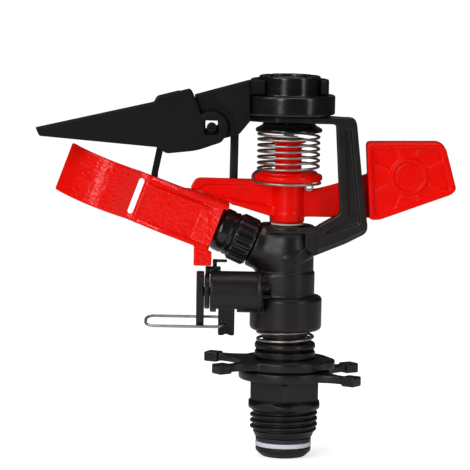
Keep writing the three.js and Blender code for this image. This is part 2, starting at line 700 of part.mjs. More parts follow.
function rockerArm() {
  const hub = join(
    rod(HUB.radius, HUB.bottom, DISC.bottom + 1, 32),
    turned([
      [0, DISC.bottom],
      [DISC.radius - 1.2, DISC.bottom],
      [DISC.radius, DISC.bottom + 1],
      [DISC.radius, DISC.bottom + 1.8],
      [DISC.radius - 1, DISC.bottom + DISC.height],
      [HUB.sleeve, DISC.bottom + DISC.height],
      [HUB.sleeve, HUB.top - 1.8],
      [HUB.collar, HUB.top - 1.2],
      [HUB.collar, HUB.top],
      [0, HUB.top],
    ]),
  );
  const left = slabY(outline([
    [0, DISC.bottom + 0.5],
    [-26.3, DISC.bottom + 0.7, 3.6],
    onSpoon([36.2, SPOON.half + SEAT]),
    onSpoon([SPOON.start - 1.2, SPOON.half + SEAT]),
    [-5.6, WEB.bottom, 0.8],
    [0, WEB.bottom],
  ]), -WEB.half, WEB.half);
  const leftFlange = slabY(outline([
    [0, WEB.bottom + 2.2],
    [0, WEB.bottom],
    [-5.6, WEB.bottom],
    onSpoon([SPOON.start - 1.4, SPOON.half + SEAT]),
    [-18.2, 80.4, 0.6],
  ]), -3.1, WEB.half);
  const right = slabY(outline([
    [0, WEB.bottom],
    [25.4, WEB.bottom],
    [24.4, 88.6],
    [15.2, 85.4, 2],
    [8.8, 83.6, 2],
    [0, 83.4],
  ]), -WEB.half, WEB.half);
  const face = [
    [23.8, 98.4, 1.2],
    [46.2, 98.8, 2.2],
    [48.3, 97.4, 0.8],
    [51.8, 84.6, 1.2],
    [50.4, 83.0, 1.0],
    [28.1, 74.7, 1.0],
    [25.2, 74.8, 0.8],
  ];
  const weight = slabY(outline(face), -WEIGHT.half, WEIGHT.half, 4);
  const middle = new THREE.Vector2(37, 87.2);
  const shrink = (point) => {
    const corner = new THREE.Vector2(point[0], point[1]).sub(middle);
    const inset = corner.setLength(corner.length() - WEIGHT.rim * 1.45).add(middle);
    return [inset.x, inset.y, 0.8];
  };
  const pocket = outline(face.map(shrink));
  const pockets = [
    slabY(pocket, -WEIGHT.half - 1, -WEIGHT.half + WEIGHT.recess, 4),
    slabY(pocket, WEIGHT.half - WEIGHT.recess, WEIGHT.half + 1, 4),
  ];
  const ringCentre = [37.2, 88.3];
  const raised = cut(
    rodY(WEIGHT.ring, -WEIGHT.half + 0.5, WEIGHT.half - 2, ...ringCentre, 32),
    rodY(WEIGHT.ring - 1.1, -WEIGHT.half - 1, -WEIGHT.half + WEIGHT.recess, ...ringCentre, 32),
  );
  const bore = rod(BUSHING.radius + SEAT, HUB.bottom - 1, HUB.top + 1, 28);
  const springEye = rodY(1.1, -4.5, 4.5, 7.2, DISC.bottom - 1.4, 16);
  const whole = join(hub, left, leftFlange, right, cut(weight, ...pockets), raised);
  return cut(whole, bore, springEye);
}

function armBushing() {
  return turned([
    [BUSHING.radius - BUSHING.wall, HUB.bottom + 0.2],
    [BUSHING.radius, HUB.bottom + 0.2],
    [BUSHING.radius, HUB.top],
    [BUSHING.radius - BUSHING.wall, HUB.top],
  ], 28);
}

/** The low-friction washer that the arm turns on. */
function armWasher() {
  return turned([
    [SHAFT.radius + SEAT, SADDLE.top + SEAT],
    [HUB.radius, SADDLE.top + SEAT],
    [HUB.radius, HUB.bottom - RUN],
    [SHAFT.radius + SEAT, HUB.bottom - RUN],
  ], 28);
}

function armShaft() {
  return rod(SHAFT.radius, shaftBottom, SHAFT.top, 24);
}

const seatTop = BAR.bottom - RUN;
const seatBottom = seatTop - UPPER_SEAT.height;

function armSpring() {
  const low = DISC.bottom + DISC.height + RUN;
  return coil(ARM_SPRING.radius, ARM_SPRING.wire, low, seatBottom - SEAT, ARM_SPRING.turns);
}

// ----------------------------------------------------------- spring tension
const capBottom = BAR.bottom + BAR.thick + CAP.gap;
const tierTop = capBottom + CAP.tier;
const capTop = tierTop + CAP.hubHeight;

function springCap() {
  const body = turned([
    [0, capBottom],
    [CAP.radius - 0.3, capBottom],
    [CAP.radius, capBottom + 0.4],
    [CAP.radius, tierTop - 0.6],
    [CAP.radius - 0.6, tierTop],
    [CAP.hub, tierTop],
    [CAP.hub, capTop - 0.7],
    [CAP.hub - 0.7, capTop],
    [CAP.hub - 2.2, capTop],
    [CAP.hub - 2.8, capTop - 1.4],
    [0, capTop - 1.4],
  ], 48);
  const neck = rod(CAP.neck, seatBottom + 0.3, capBottom + 1, 28);
  const screwdriverSlot = box(-4.5, 4.5, -0.8, 0.8, capTop - 2.2, capTop);
  const shaftRoom = rod(SHAFT.radius + RUN, seatBottom - 1, SHAFT.top + RUN, 24);
  return cut(join(body, neck), screwdriverSlot, shaftRoom);
}

function upperSpringSeat() {
  return turned([
    [CAP.neck + SEAT, seatBottom],
    [UPPER_SEAT.radius, seatBottom],
    [UPPER_SEAT.radius, seatBottom + UPPER_SEAT.lip],
    [UPPER_SEAT.top, seatTop],
    [CAP.neck + SEAT, seatTop],
  ]);
}

// ----------------------------------------------------------------- deflector

/** The fixed holder: a clip ring round the cap's hub and a plate with the pivot hole. */
function deflectorBracket() {
  const ringLow = tierTop + SEAT;
  const ringHigh = ringLow + BRACKET.ringHeight;
  const clip = new THREE.Shape();
  clip.absarc(0, 0, BRACKET.ring, -20 * DEG, 216 * DEG, false);
  clip.absarc(0, 0, CAP.hub + RUN, 216 * DEG, -20 * DEG, true);
  clip.closePath();
  const ring = slabZ(clip, ringLow, ringHigh, 22);
  const front = slabY(outline([
    [-12.4, ringHigh],
    [-24.0, 114.3],
    [PIVOT.x + 2.4, PIVOT.z + 7.2],
    [-17.4, PIVOT.z + 4.4],
    [-15.2, 101.0],
    [-12.0, 105.0],
  ]), BRACKET.near, BRACKET.mid + 0.5);
  const rear = slabY(outline([
    [-12.4, ringHigh],
    [-29.2, 112.7],
    [PIVOT.x - 4.4, PIVOT.z - 1.5, 1.5],
    [PIVOT.x, PIVOT.z - 4.6, 1.5],
    [-15.4, 100.6],
    [-12.0, 105.0],
  ]), BRACKET.mid, BRACKET.far);
  const ear = box(-12.6, -7.6, BRACKET.near + 1.6, BRACKET.far, ringLow, ringHigh);
  const pinHole = rodY(PIVOT.pin + SEAT, BRACKET.near - 1, BRACKET.far + 1, PIVOT.x, PIVOT.z, 20);
  const bossRoom = rodY(PIVOT.boss + RUN, BRACKET.near - 1, BRACKET.mid, PIVOT.x, PIVOT.z);
  const hubRoom = rod(CAP.hub + RUN, ringLow - 1, capTop + 1, 48);
  const tierRoom = rod(CAP.radius + RUN, capBottom - 8, ringLow, 48);
  return cut(join(ring, front, rear, ear), pinHole, bossRoom, hubRoom, tierRoom);
}

/** The wing that flattens the jet's throw, with the thin finger that breaks the jet up. */
function deflectorBlade() {
  const tip = [[-77.8, 101.9], [-76.6, 99.3]];
  const heel = [-40.0, 96.4];
  const crest = [[-29.7, 113.4], [-30.6, 114.7], [-40.8, 111.9], [-41.6, 110.4]];
  const side = slabY(outline([
    ...tip,
    heel,
    [-37.8, 94.5, 0.6],
    [-28.3, 95.6],
    [-20.4, 98.4, 1],
    [PIVOT.x + PIVOT.boss - 0.4, PIVOT.z - 1.2],
    [PIVOT.x + 2.6, PIVOT.z + 3.4, 1.2],
    [PIVOT.x - 3.2, PIVOT.z + 3.8],
    ...crest,
  ]), BLADE.near, BLADE.far, 4);
  const boss = rodY(PIVOT.boss, BLADE.near, BLADE.far, PIVOT.x, PIVOT.z);
  const shelf = slabY(outline([
    ...tip,
    heel,
    [-37.6, 96.6],
    [-37.6, 96.6 + BLADE.shelf],
    [-72.0, 99.2 + BLADE.shelf],
  ]), BLADE.far - 0.5, BLADE.shelfFar);
  const shelfTaper = slabZ(outline([
    [-80, BLADE.far],
    [-30, BLADE.shelfFar + 1],
    [-30, 20],
    [-80, 20],
  ]), 90, 110);
  const thumb = slabY(outline([
    ...crest.slice(2),
    [-40.6, 109.4],
    [-33.6, 110.6],
    [-33.6, 112.6],
  ]), BLADE.far - 0.5, -2.5);
  const finger = slabY(outline([
    [-40.3, heel[1] + 1.3],
    [-38.2, heel[1] + 1.1],
    [-40.2, 87.6],
    [-40.4, JET_FINGER.bottom, 0.5],
    [-42.5, JET_FINGER.bottom, 0.5],
    [-42.3, 87.6],
  ]), JET_FINGER.near, JET_FINGER.far);
  const half = PIVOT.window / 2;
  const pocket = box(PIVOT.x - half, PIVOT.x + half, BLADE.near - 1, BLADE.near + 1.2, PIVOT.z - half, PIVOT.z + half);
  const pinHole = rodY(PIVOT.pin + RUN, BLADE.near - 1, BLADE.far + 1, PIVOT.x, PIVOT.z, 20);
  return cut(join(side, boss, cut(shelf, shelfTaper), thumb, finger), pocket, pinHole);
}

function deflectorPin() {
  const headFar = BLADE.near + 1.2 - SEAT;
  return join(
    rodY(PIVOT.head, headFar - 0.8, headFar, PIVOT.x, PIVOT.z, 24),
    rodY(PIVOT.pin, headFar - 0.1, BRACKET.far + 0.6, PIVOT.x, PIVOT.z, 24),
  );
}

// ------------------------------------------------------------ trip mechanism

/** Turns a piece built hanging straight down to the lever's tilt at rest. */
function tilted(body) {
  return body.translate([0, -TRIP.y, -TRIP.z]).rotate([TRIP_REST, 0, 0]).translate([0, TRIP.y, TRIP.z]);
}

const pawlRight = TRIP.left - RUN;
const pawlLeft = pawlRight - PAWL.thick;
const leverRight = pawlLeft - RUN;
const leverLeft = leverRight - LEVER.thick;

function tripShaft() {
  return rodX(TRIP_SHAFT.radius, leverLeft + 0.8, TRIP.right - SEAT, TRIP.y, TRIP.z, 20);
}

function tripLever() {
  const half = LEVER.width / 2;
  const plate = slabX(outline([
    [TRIP.y - half, TRIP.z - LEVER.bottom, 0.8],
    [TRIP.y + half, TRIP.z - LEVER.bottom, 0.8],
    [TRIP.y + half, TRIP.z],
    [TRIP.y + half - 0.6, TRIP.z + LEVER.top, 1],
    [TRIP.y - half + 0.6, TRIP.z + LEVER.top, 1],
    [TRIP.y - half, TRIP.z],
  ]), leverLeft, leverRight);
  const hub = rodX(LEVER.hub, leverLeft, leverRight, TRIP.y, TRIP.z, 28);
  const socket = rodX(TRIP_SHAFT.radius + SEAT, leverLeft + 0.6, leverRight + 1, TRIP.y, TRIP.z, 20);
  return tilted(cut(join(plate, hub), socket));
}

function tripTab() {
  const half = TAB.thick / 2;
  const hub = rodX(TAB.hub, TAB.left, TAB.right, TRIP.y, TRIP.z, 28);
  const width = TAB.right - TAB.left;
  const plate = slabY(outline([
    [TAB.left, TRIP.z],
    [TAB.left, TRIP.z - TAB.length, 0.7],
    [TAB.left + width * 0.3, TRIP.z - TAB.length + 0.1],
    [TAB.left + width * 0.5, TRIP.z - TAB.length + 0.7],
    [TAB.right - width * 0.3, TRIP.z - TAB.length + 0.1],
    [TAB.right, TRIP.z - TAB.length, 0.7],
    [TAB.right, TRIP.z],
  ]), TRIP.y - half, TRIP.y + half);
  const bore = rodX(TRIP_SHAFT.radius + SEAT, TAB.left - 1, TAB.right + 1, TRIP.y, TRIP.z, 20);
  const wireHole = rodY(TRIP_WIRE.radius + RUN, TRIP.y - 5, TRIP.y + 5, TRIP_WIRE.pivotX, TRIP.z - TRIP_WIRE.drop, 16);
  return tilted(cut(join(hub, plate), bore, wireHole));
}

/** The wire trip pin: a long loop hooked into the tab from both sides. */
function tripPin() {
  const { pivotX, end, legs, drop, bend } = TRIP_WIRE;
  const z = TRIP.z - drop;
  const corners = [
    [pivotX, -legs, 1, 0],
    [end, -legs, 0, 1],
    [end, legs, 0, 1],
    [pivotX, legs, 1, 0],
  ];
  const points = [new THREE.Vector3(pivotX, TRIP.y - 0.35, z)];
  corners.forEach(([x, side], i) => {
    const inward = x === pivotX ? -1 : 1;
    const centre = new THREE.Vector3(x + inward * bend, TRIP.y + side - Math.sign(side) * bend, z);
    for (let step = 0; step <= 3; step++) {
      const turn = -i * 90 * DEG - (step / 3) * 90 * DEG;
      points.push(new THREE.Vector3(bend * Math.cos(turn), bend * Math.sin(turn), 0).add(centre));
    }
  });
  points.push(new THREE.Vector3(pivotX, TRIP.y + 0.35, z));
  return tilted(wire(points, TRIP_WIRE.radius, 8));
}

/** The pawl: its finger stands behind the arm's foot, or in front of it once the lever is tripped. */
function reversingPawl() {
  const inner = TRIP.barrel + RUN;
  const outer = inner + PAWL.strap;
  const middle = Math.atan2((PAWL.near + PAWL.far) / 2, outer);
  const spread = 17 * DEG;
  const arc = (radius, from, to) => {
    const steps = 6;
    return Array.from({ length: steps + 1 }, (_, i) => {
      const angle = from + ((to - from) * i) / steps;
      return [TRIP.y + radius * Math.sin(angle), TRIP.z + radius * Math.cos(angle)];
    });
  };
  const strap = slabX(outline([
    ...arc(outer, middle + spread, middle - spread),
    ...arc(inner, middle - spread, middle + spread),
  ]), pawlLeft, PAWL.right);
  const web = slabX(outline([
    ...arc(outer, middle + spread, middle - spread),
    ...arc(1, middle - 1.2, middle + 1.2),
  ]), pawlLeft, pawlRight);
  const hub = rodX(PAWL.hub, pawlLeft, pawlRight, TRIP.y, TRIP.z, 28);
  const finger = cut(
    box(PAWL.left, PAWL.right, TRIP.y + PAWL.near, TRIP.y + PAWL.far, TRIP.z, TRIP.z + PAWL.height),
    rodX(inner, PAWL.left - 1, PAWL.right + 1, TRIP.y, TRIP.z, 36),
  );
  const bore = rodX(TRIP_SHAFT.radius + RUN, pawlLeft - 1, pawlRight + 1, TRIP.y, TRIP.z, 20);
  return cut(join(hub, web, strap, finger), bore);
}

/** The snap spring inside the trip barrel, round the shaft. */
function toggleSpring() {
  const right = TRIP.right - TRIP.wall - RUN;
  const left = TAB.right + RUN;
  const body = coil(TOGGLE.radius, TOGGLE.wire, 0, right - left, TOGGLE.turns, 14, 6);
  return body.rotate([0, 90, 0]).translate([left, TRIP.y, TRIP.z]);
}

// ------------------------------------------------------------------ assembly
const sprinkler = new THREE.Group();

const pieces = [
  ['bearing_nipple', bearingNipple(), 'blackPlastic'],
  ['lower_trip_collar', tripCollar(lowerCollar, LOWER_ANGLES, 100), 'blackPlastic'],
  ['upper_trip_collar', tripCollar(upperCollar, UPPER_ANGLES, -8), 'blackPlastic'],
  ['collar_retainer', collarRetainer(), 'blackPlastic'],
  ['thrust_washer', thrustWasher(), 'blackPlastic'],
  ['seal_washer', tubeWasher(rubberBottom, WASHER.rubber), 'blackRubber'],
  ['friction_washer', tubeWasher(whiteBottom, WASHER.white), 'whitePolymer'],
  ['inlet_tube', inletTube(), 'blackPlastic'],
  ['bearing_spring', bearingSpring(), 'steel'],
  ['main_body', mainBody(), 'blackPlastic'],
  ['bridge_frame', bridgeFrame(), 'blackPlastic'],
  ['nozzle_nut', nozzleNut(), 'blackPlastic'],
  ['nozzle', nozzle(), 'blackPlastic'],
  ['jet_straightener', jetStraightener(), 'acetal'],
  ['arm_shaft', armShaft(), 'steel'],
  ['arm_washer', armWasher(), 'acetal'],
  ['rocker_arm', rockerArm(), 'redPlastic'],
  ['arm_spoon', armSpoon(), 'redPlastic'],
  ['arm_bushing', armBushing(), 'acetal'],
  ['arm_spring', armSpring(), 'steel'],
  ['upper_spring_seat', upperSpringSeat(), 'blackPlastic'],
  ['spring_cap', springCap(), 'blackPlastic'],
  ['deflector_bracket', deflectorBracket(), 'blackPlastic'],
  ['deflector_blade', deflectorBlade(), 'blackPlastic'],
  ['deflector_pin', deflectorPin(), 'blackPlastic'],
  ['trip_shaft', tripShaft(), 'steel'],
  ['trip_lever', tripLever(), 'blackPlastic'],
  ['trip_tab', tripTab(), 'blackPlastic'],
  ['trip_pin', tripPin(), 'steel'],
  ['reversing_pawl', reversingPawl(), 'blackPlastic'],
  ['toggle_spring', toggleSpring(), 'steel'],
];

for (const [name, body, finish] of pieces) {
  sprinkler.add(part(name, body, finish));
}

export default sprinkler;
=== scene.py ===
import math

import bmesh
import bpy
import numpy as np
from mathutils import Matrix, Vector


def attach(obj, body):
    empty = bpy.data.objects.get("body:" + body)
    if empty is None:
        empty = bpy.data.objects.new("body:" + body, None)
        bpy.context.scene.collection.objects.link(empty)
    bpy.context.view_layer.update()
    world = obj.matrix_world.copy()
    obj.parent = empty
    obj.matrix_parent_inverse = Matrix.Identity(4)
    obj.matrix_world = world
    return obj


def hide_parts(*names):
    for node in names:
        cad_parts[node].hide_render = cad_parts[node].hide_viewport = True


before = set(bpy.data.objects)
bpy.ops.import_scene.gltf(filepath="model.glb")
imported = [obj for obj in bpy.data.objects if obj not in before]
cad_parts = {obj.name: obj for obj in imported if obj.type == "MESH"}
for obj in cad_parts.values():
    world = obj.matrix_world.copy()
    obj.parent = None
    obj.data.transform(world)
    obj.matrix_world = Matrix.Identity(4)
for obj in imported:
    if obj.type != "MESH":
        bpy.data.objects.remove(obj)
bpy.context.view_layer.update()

# ---------------------------------------------------------------- studio
# The head stands on a round of white painted board in a white room. Four softboxes
# light it. Board and room look bright but give little light of their own, so that
# the black mouldings stay dark between clean bright edges.


def linear(code):
    """The linear colour of an sRGB hex code, channel by channel, with an alpha of one."""
    channels = [int(code[i:i + 2], 16) / 255 for i in (1, 3, 5)]
    curve = [c / 12.92 if c <= 0.04045 else ((c + 0.055) / 1.055) ** 2.4 for c in channels]
    return (*curve, 1.0)


def add(tree, kind, inputs=(), **settings):
    """Adds one node with its settings; each input is a constant or another node's output."""
    made = tree.nodes.new(kind)
    for name, value in settings.items():
        setattr(made, name, value)
    for name, value in dict(inputs).items():
        socket = next(s for s in made.inputs if s.enabled and s.name == name)
        if isinstance(value, bpy.types.NodeSocket):
            tree.links.new(value, socket)
        else:
            socket.default_value = value
    return made


def new_material(name):
    """An empty material and its output node."""
    material = bpy.data.materials.new(name)
    material.use_nodes = True
    material.node_tree.nodes.clear()
    return material, material.node_tree, add(material.node_tree, "ShaderNodeOutputMaterial")


def grid_faces(rows, columns, wrap_rows=False, wrap_columns=False):
    """The quads between neighbouring points of a grid whose points are numbered row by row."""
    down = np.arange(rows if wrap_rows else rows - 1)[:, None]
    across = np.arange(columns if wrap_columns else columns - 1)[None, :]
    below, right = (down + 1) % rows, (across + 1) % columns
    corners = [down * columns + across, down * columns + right,
               below * columns + right, below * columns + across]
    return np.stack(np.broadcast_arrays(*corners), axis=-1).reshape(-1, 4)


def new_piece(name, points, faces, material, seams=True):
    """A smooth-shaded object of points in millimetres; doubled seam points are merged."""
    mesh = bpy.data.meshes.new(name)
    mesh.from_pydata(np.asarray(points, float) / 1000, [], np.asarray(faces))
    if seams:
        work = bmesh.new()
        work.from_mesh(mesh)
        bmesh.ops.remove_doubles(work, verts=work.verts, dist=2e-6)
        bmesh.ops.dissolve_degenerate(work, edges=work.edges, dist=1e-7)
        bmesh.ops.recalc_face_normals(work, faces=work.faces)
        work.to_mesh(mesh)
        work.free()
    mesh.shade_smooth()
    mesh.materials.append(material)
    piece = bpy.data.objects.new(name, mesh)
    bpy.context.collection.objects.link(piece)
    return piece


FLOOR_RADIUS = 420  # mm
BOARD_SEEN, BOARD_LIGHT = 0.66, 0.05  # how strongly the board glows in the view, and onto things

board, tree, out = new_material("white painted board")
grain = add(tree, "ShaderNodeTexNoise", {
    "Vector": add(tree, "ShaderNodeTexCoord").outputs["Object"], "Scale": 1 / 0.4, "Detail": 2.0})
shade = add(tree, "ShaderNodeMix", {
    "Factor": grain.outputs["Fac"], "A": linear("#F4F5F7"), "B": linear("#FAFAFA")}, data_type="RGBA")
glow = add(tree, "ShaderNodeMapRange", {
    "Value": add(tree, "ShaderNodeLightPath").outputs["Is Camera Ray"],
    "To Min": BOARD_LIGHT, "To Max": BOARD_SEEN})
paint = add(tree, "ShaderNodeBsdfPrincipled", {
    "Base Color": shade.outputs["Result"], "Roughness": 0.8, "Specular IOR Level": 0.1,
    "Emission Color": linear("#FFFFFF"), "Emission Strength": glow.outputs["Result"]})
tree.links.new(paint.outputs[0], out.inputs["Surface"])


def flat_round(radius, rings, columns):
    """Points of a level disc: the first parameter is the distance out, the second the angle."""
    out_to = np.linspace(0, radius, rings)[:, None]
    angle = np.linspace(0, 2 * math.pi, columns, endpoint=False)[None, :]
    points = np.stack(np.broadcast_arrays(out_to * np.cos(angle), out_to * np.sin(angle), 0.0), axis=-1)
    return points.reshape(-1, 3), grid_faces(rings, columns, False, True)


floor = new_piece("floor", *flat_round(FLOOR_RADIUS, 8, 96), board)

CAMERA_TARGET, CAMERA_DISTANCE = Vector((-0.0161, 0.0, 0.0688)), 1.119  # m
CAMERA_RISE, CAMERA_ROLL = math.radians(6.73), math.radians(1.0)
SENSOR, LENS = 36, 276.9  # mm

camera = bpy.data.objects.new("camera", bpy.data.cameras.new("camera"))
camera.data.sensor_width, camera.data.lens = SENSOR, LENS
camera.data.clip_start = 0.05
away = Vector((0, -math.cos(CAMERA_RISE), math.sin(CAMERA_RISE)))
turned = away.to_track_quat("Z", "Y").to_matrix() @ Matrix.Rotation(CAMERA_ROLL, 3, "Z")
camera.matrix_world = Matrix.Translation(CAMERA_TARGET + away * CAMERA_DISTANCE) @ turned.to_4x4()
bpy.context.collection.objects.link(camera)
bpy.context.scene.camera = camera

AIM = Vector((-0.01, 0, 0.07))
# Each softbox's name, place, width and height in metres, and power in watts.
for name, place, width, height, power in (
        ("softbox front", (-0.42, -1.00, 0.40), 0.22, 0.70, 4.4),
        ("softbox left", (-0.85, -0.60, 0.80), 0.50, 0.60, 4.6),
        ("softbox right", (0.90, -0.70, 0.40), 0.18, 0.80, 2.4),
        ("softbox above", (0.05, 0.10, 1.00), 0.90, 0.60, 4.0)):
    lamp = bpy.data.lights.new(name, "AREA")
    lamp.shape = "RECTANGLE"
    lamp.size, lamp.size_y, lamp.energy = width, height, power
    light = bpy.data.objects.new(name, lamp)
    light.location = place
    light.rotation_euler = (Vector(place) - AIM).to_track_quat("Z", "Y").to_euler()
    bpy.context.collection.objects.link(light)

ROOM_SEEN, ROOM_LIGHT = 1.05, 0.04  # how bright the room looks, and how much light it gives

world = bpy.data.worlds.new("white room")
world.use_nodes = True
tree = world.node_tree
tree.nodes.clear()
glow = add(tree, "ShaderNodeMapRange", {
    "Value": add(tree, "ShaderNodeLightPath").outputs["Is Camera Ray"],
    "To Min": ROOM_LIGHT, "To Max": ROOM_SEEN})
room = add(tree, "ShaderNodeBackground", {"Color": linear("#FFFFFF"), "Strength": glow.outputs["Result"]})
tree.links.new(room.outputs[0], add(tree, "ShaderNodeOutputWorld").inputs["Surface"])
bpy.context.scene.world = world
bpy.context.scene.view_settings.view_transform = "Standard"

# ------------------------------------------------- bearing tube and washers
# The inlet tube is a black moulding; its flange holds the head in the nipple.
# A white low-friction washer and a black rubber seal are slipped over it.


def rounded(corners, steps=5):
    """A line through corners [a, b, radius]: each corner is cut back by its radius and bent as a
    quadratic curve, with one more point just before and after it so that the flats shade flat."""
    spots = np.array([c[:2] for c in corners], float)
    wanted = np.array([c[2] if len(c) > 2 else 0.0 for c in corners])
    before, after = np.roll(spots, 1, axis=0) - spots, np.roll(spots, -1, axis=0) - spots
    long_before, long_after = np.hypot(*before.T), np.hypot(*after.T)
    radius = np.minimum(np.maximum(wanted, 0.02), 0.45 * np.minimum(long_before, long_after))[:, None]
    one, two = before / long_before[:, None], after / long_after[:, None]
    enter, leave = spots + one * radius, spots + two * radius
    t = np.linspace(0, 1, steps + 1)[None, :, None]
    bend = (1 - t) ** 2 * enter[:, None] + 2 * t * (1 - t) * spots[:, None] + t ** 2 * leave[:, None]
    near = np.minimum(radius * 0.1, 0.04)
    ring = np.concatenate([(enter + one * near)[:, None], bend, (leave + two * near)[:, None]], axis=1)
    return ring.reshape(-1, 2)


def lathed(profile, columns=144, shape=None):
    """A closed profile of radius and height turned about Z. The grid's first parameter runs along
    the profile and the second round the axis; shape may change the radius by angle and height."""
    angle = np.linspace(0, 2 * math.pi, columns, endpoint=False)[None, :]
    radius, height = profile[:, :1], profile[:, 1:]
    if shape is not None:
        radius = shape(radius, angle, height)
    points = np.broadcast_arrays(radius * np.cos(angle), radius * np.sin(angle), height)
    return np.stack(points, axis=-1).reshape(-1, 3), grid_faces(len(profile), columns, True, True)


def moulded_plastic(name, dark, light, gloss, grain_depth, ripple_depth, shine=0.5, ripple_width=3.0):
    """An injection-moulded plastic: the tone drifts over centimetres, the gloss over a few
    millimetres, and the bump adds the ripple of the cooled melt to the fine grain of the mould."""
    material, tree, out = new_material(name)
    place = add(tree, "ShaderNodeTexCoord").outputs["Object"]
    drift = add(tree, "ShaderNodeTexNoise", {"Vector": place, "Scale": 1 / 0.012, "Detail": 3.0})
    tone = add(tree, "ShaderNodeMix", {
        "Factor": drift.outputs["Fac"], "A": linear(dark), "B": linear(light)}, data_type="RGBA")
    patches = add(tree, "ShaderNodeTexNoise", {
        "Vector": place, "Scale": 1 / 0.0035, "Detail": 4.0, "Roughness": 0.6})
    rough = add(tree, "ShaderNodeMapRange", {
        "Value": patches.outputs["Fac"], "From Min": 0.3, "From Max": 0.7,
        "To Min": gloss - 0.06, "To Max": gloss + 0.06})
    ripple = add(tree, "ShaderNodeTexNoise", {
        "Vector": place, "Scale": 1000 / ripple_width, "Detail": 1.0})
    grain = add(tree, "ShaderNodeTexNoise", {"Vector": place, "Scale": 1 / 0.00035, "Detail": 2.0})
    waves = add(tree, "ShaderNodeBump", {
        "Height": ripple.outputs["Fac"], "Strength": 1.0, "Distance": ripple_depth / 1000})
    bump = add(tree, "ShaderNodeBump", {
        "Height": grain.outputs["Fac"], "Strength": 1.0, "Distance": grain_depth / 1000,
        "Normal": waves.outputs["Normal"]})
    surface = add(tree, "ShaderNodeBsdfPrincipled", {
        "Base Color": tone.outputs["Result"], "Roughness": rough.outputs["Result"], "IOR": 1.5,
        "Specular IOR Level": shine, "Normal": bump.outputs["Normal"]})
    tree.links.new(surface.outputs[0], out.inputs["Surface"])
    return material


# Glass-filled black nylon from a bead-blasted mould: a satin skin with a warm cast.
satin_nylon = moulded_plastic("satin black nylon", "#120F0F", "#1E1817", 0.36, 0.006, 0.02, 0.36)
# PTFE-filled white polymer, turned: chalky white and nearly matt.
white_polymer = moulded_plastic("white bearing polymer", "#DCDFEA", "#F0F1F8", 0.50, 0.003, 0.01)
# Nitrile rubber, cut from sheet: blue-grey black and dull.
rubber = moulded_plastic("black nitrile rubber", "#1E1F23", "#2A2B30", 0.62, 0.010, 0.02)

TUBE_BORE, TUBE_OUTER, TUBE_TOP = 5.2, 6.9, 48.5
TUBE_FLANGE, TUBE_FLANGE_TOP, TUBE_CHAMFER = 8.6, 3.1, 2.0
WASHER_BORE, WASHER_OUTER = 7.1, 8.7

tube = new_piece("inlet_tube_moulding", *lathed(rounded([
    [TUBE_BORE, 0, 0.3],
    [TUBE_FLANGE - TUBE_CHAMFER, 0, 0.5],
    [TUBE_FLANGE, TUBE_CHAMFER * 0.9, 0.6],
    [TUBE_FLANGE, TUBE_FLANGE_TOP, 0.3],
    [TUBE_OUTER, TUBE_FLANGE_TOP, 0.1],
    [TUBE_OUTER, TUBE_TOP, 0.3],
    [TUBE_BORE, TUBE_TOP, 0.3],
])), satin_nylon)
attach(tube, "head")
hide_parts("inlet_tube")

white_ring = new_piece("white_washer_ring", *lathed(rounded([
    [WASHER_BORE, 3.3, 0.1], [WASHER_OUTER, 3.3, 0.3], [WASHER_OUTER, 4.7, 0.3], [WASHER_BORE, 4.7, 0.1],
])), white_polymer)
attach(white_ring, "head")
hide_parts("friction_washer")

rubber_ring = new_piece("rubber_seal_ring", *lathed(rounded([
    [WASHER_BORE, 4.9, 0.1], [WASHER_OUTER - 0.1, 4.9, 0.2],
    [WASHER_OUTER, 6.1, 0.4], [WASHER_BORE, 6.1, 0.1],
])), rubber)
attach(rubber_ring, "nipple")
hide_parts("seal_washer")

# ----------------------------------------------------------- bearing nipple
# The threaded half-inch nipple is one nylon moulding: a parallel pipe thread,
# a shoulder bead with wrench flats, a hexagon, and a plain seat for the collars.

THREAD_CREST, THREAD_ROOT, THREAD_PITCH = 10.48, 9.32, 1.814
THREAD_LOW, THREAD_HIGH = 7.4, 14.8
HEX_LOW, HEX_HIGH = 18.0, 24.0
HEX_FLAT, BEAD_FLAT = 10.48, 11.05  # half the width across the flats


def nipple_radius(radius, angle, height):
    """The thread's ridge is a soft trapezium that climbs one pitch a turn and fades at both ends.
    Above it the radius stops at six flats, which shape the shoulder bead and then the hexagon."""
    climb = (height - THREAD_LOW) / THREAD_PITCH - angle / (2 * math.pi)
    off_crest = np.abs(climb % 1.0 - 0.5) * 2
    ridge = np.clip((0.86 - off_crest) / 0.6, 0, 1)
    ridge = ridge * ridge * (3 - 2 * ridge)
    ends = np.clip((height - THREAD_LOW - 0.1) / 1.3, 0, 1) * np.clip((THREAD_HIGH - height) / 0.9, 0, 1)
    threaded = radius + (THREAD_CREST - THREAD_ROOT) * ridge * ends
    sector = (angle + math.pi / 6) % (math.pi / 3) - math.pi / 6
    flat = np.where(height > HEX_LOW, HEX_FLAT, BEAD_FLAT) / np.cos(sector)
    notch = (np.abs(np.sin(angle)) < 0.14) & (height > HEX_LOW + 0.6) & (height < HEX_LOW + 2.2)
    flatted = np.minimum(radius, np.where(notch, 9.7, flat))
    in_thread = (height > THREAD_LOW) & (height < THREAD_HIGH) & (radius > 9)
    in_flats = (height > THREAD_HIGH + 0.05) & (height < HEX_HIGH) & (radius > 9)
    return np.where(in_thread, threaded, np.where(in_flats, flatted, radius + 0 * angle))


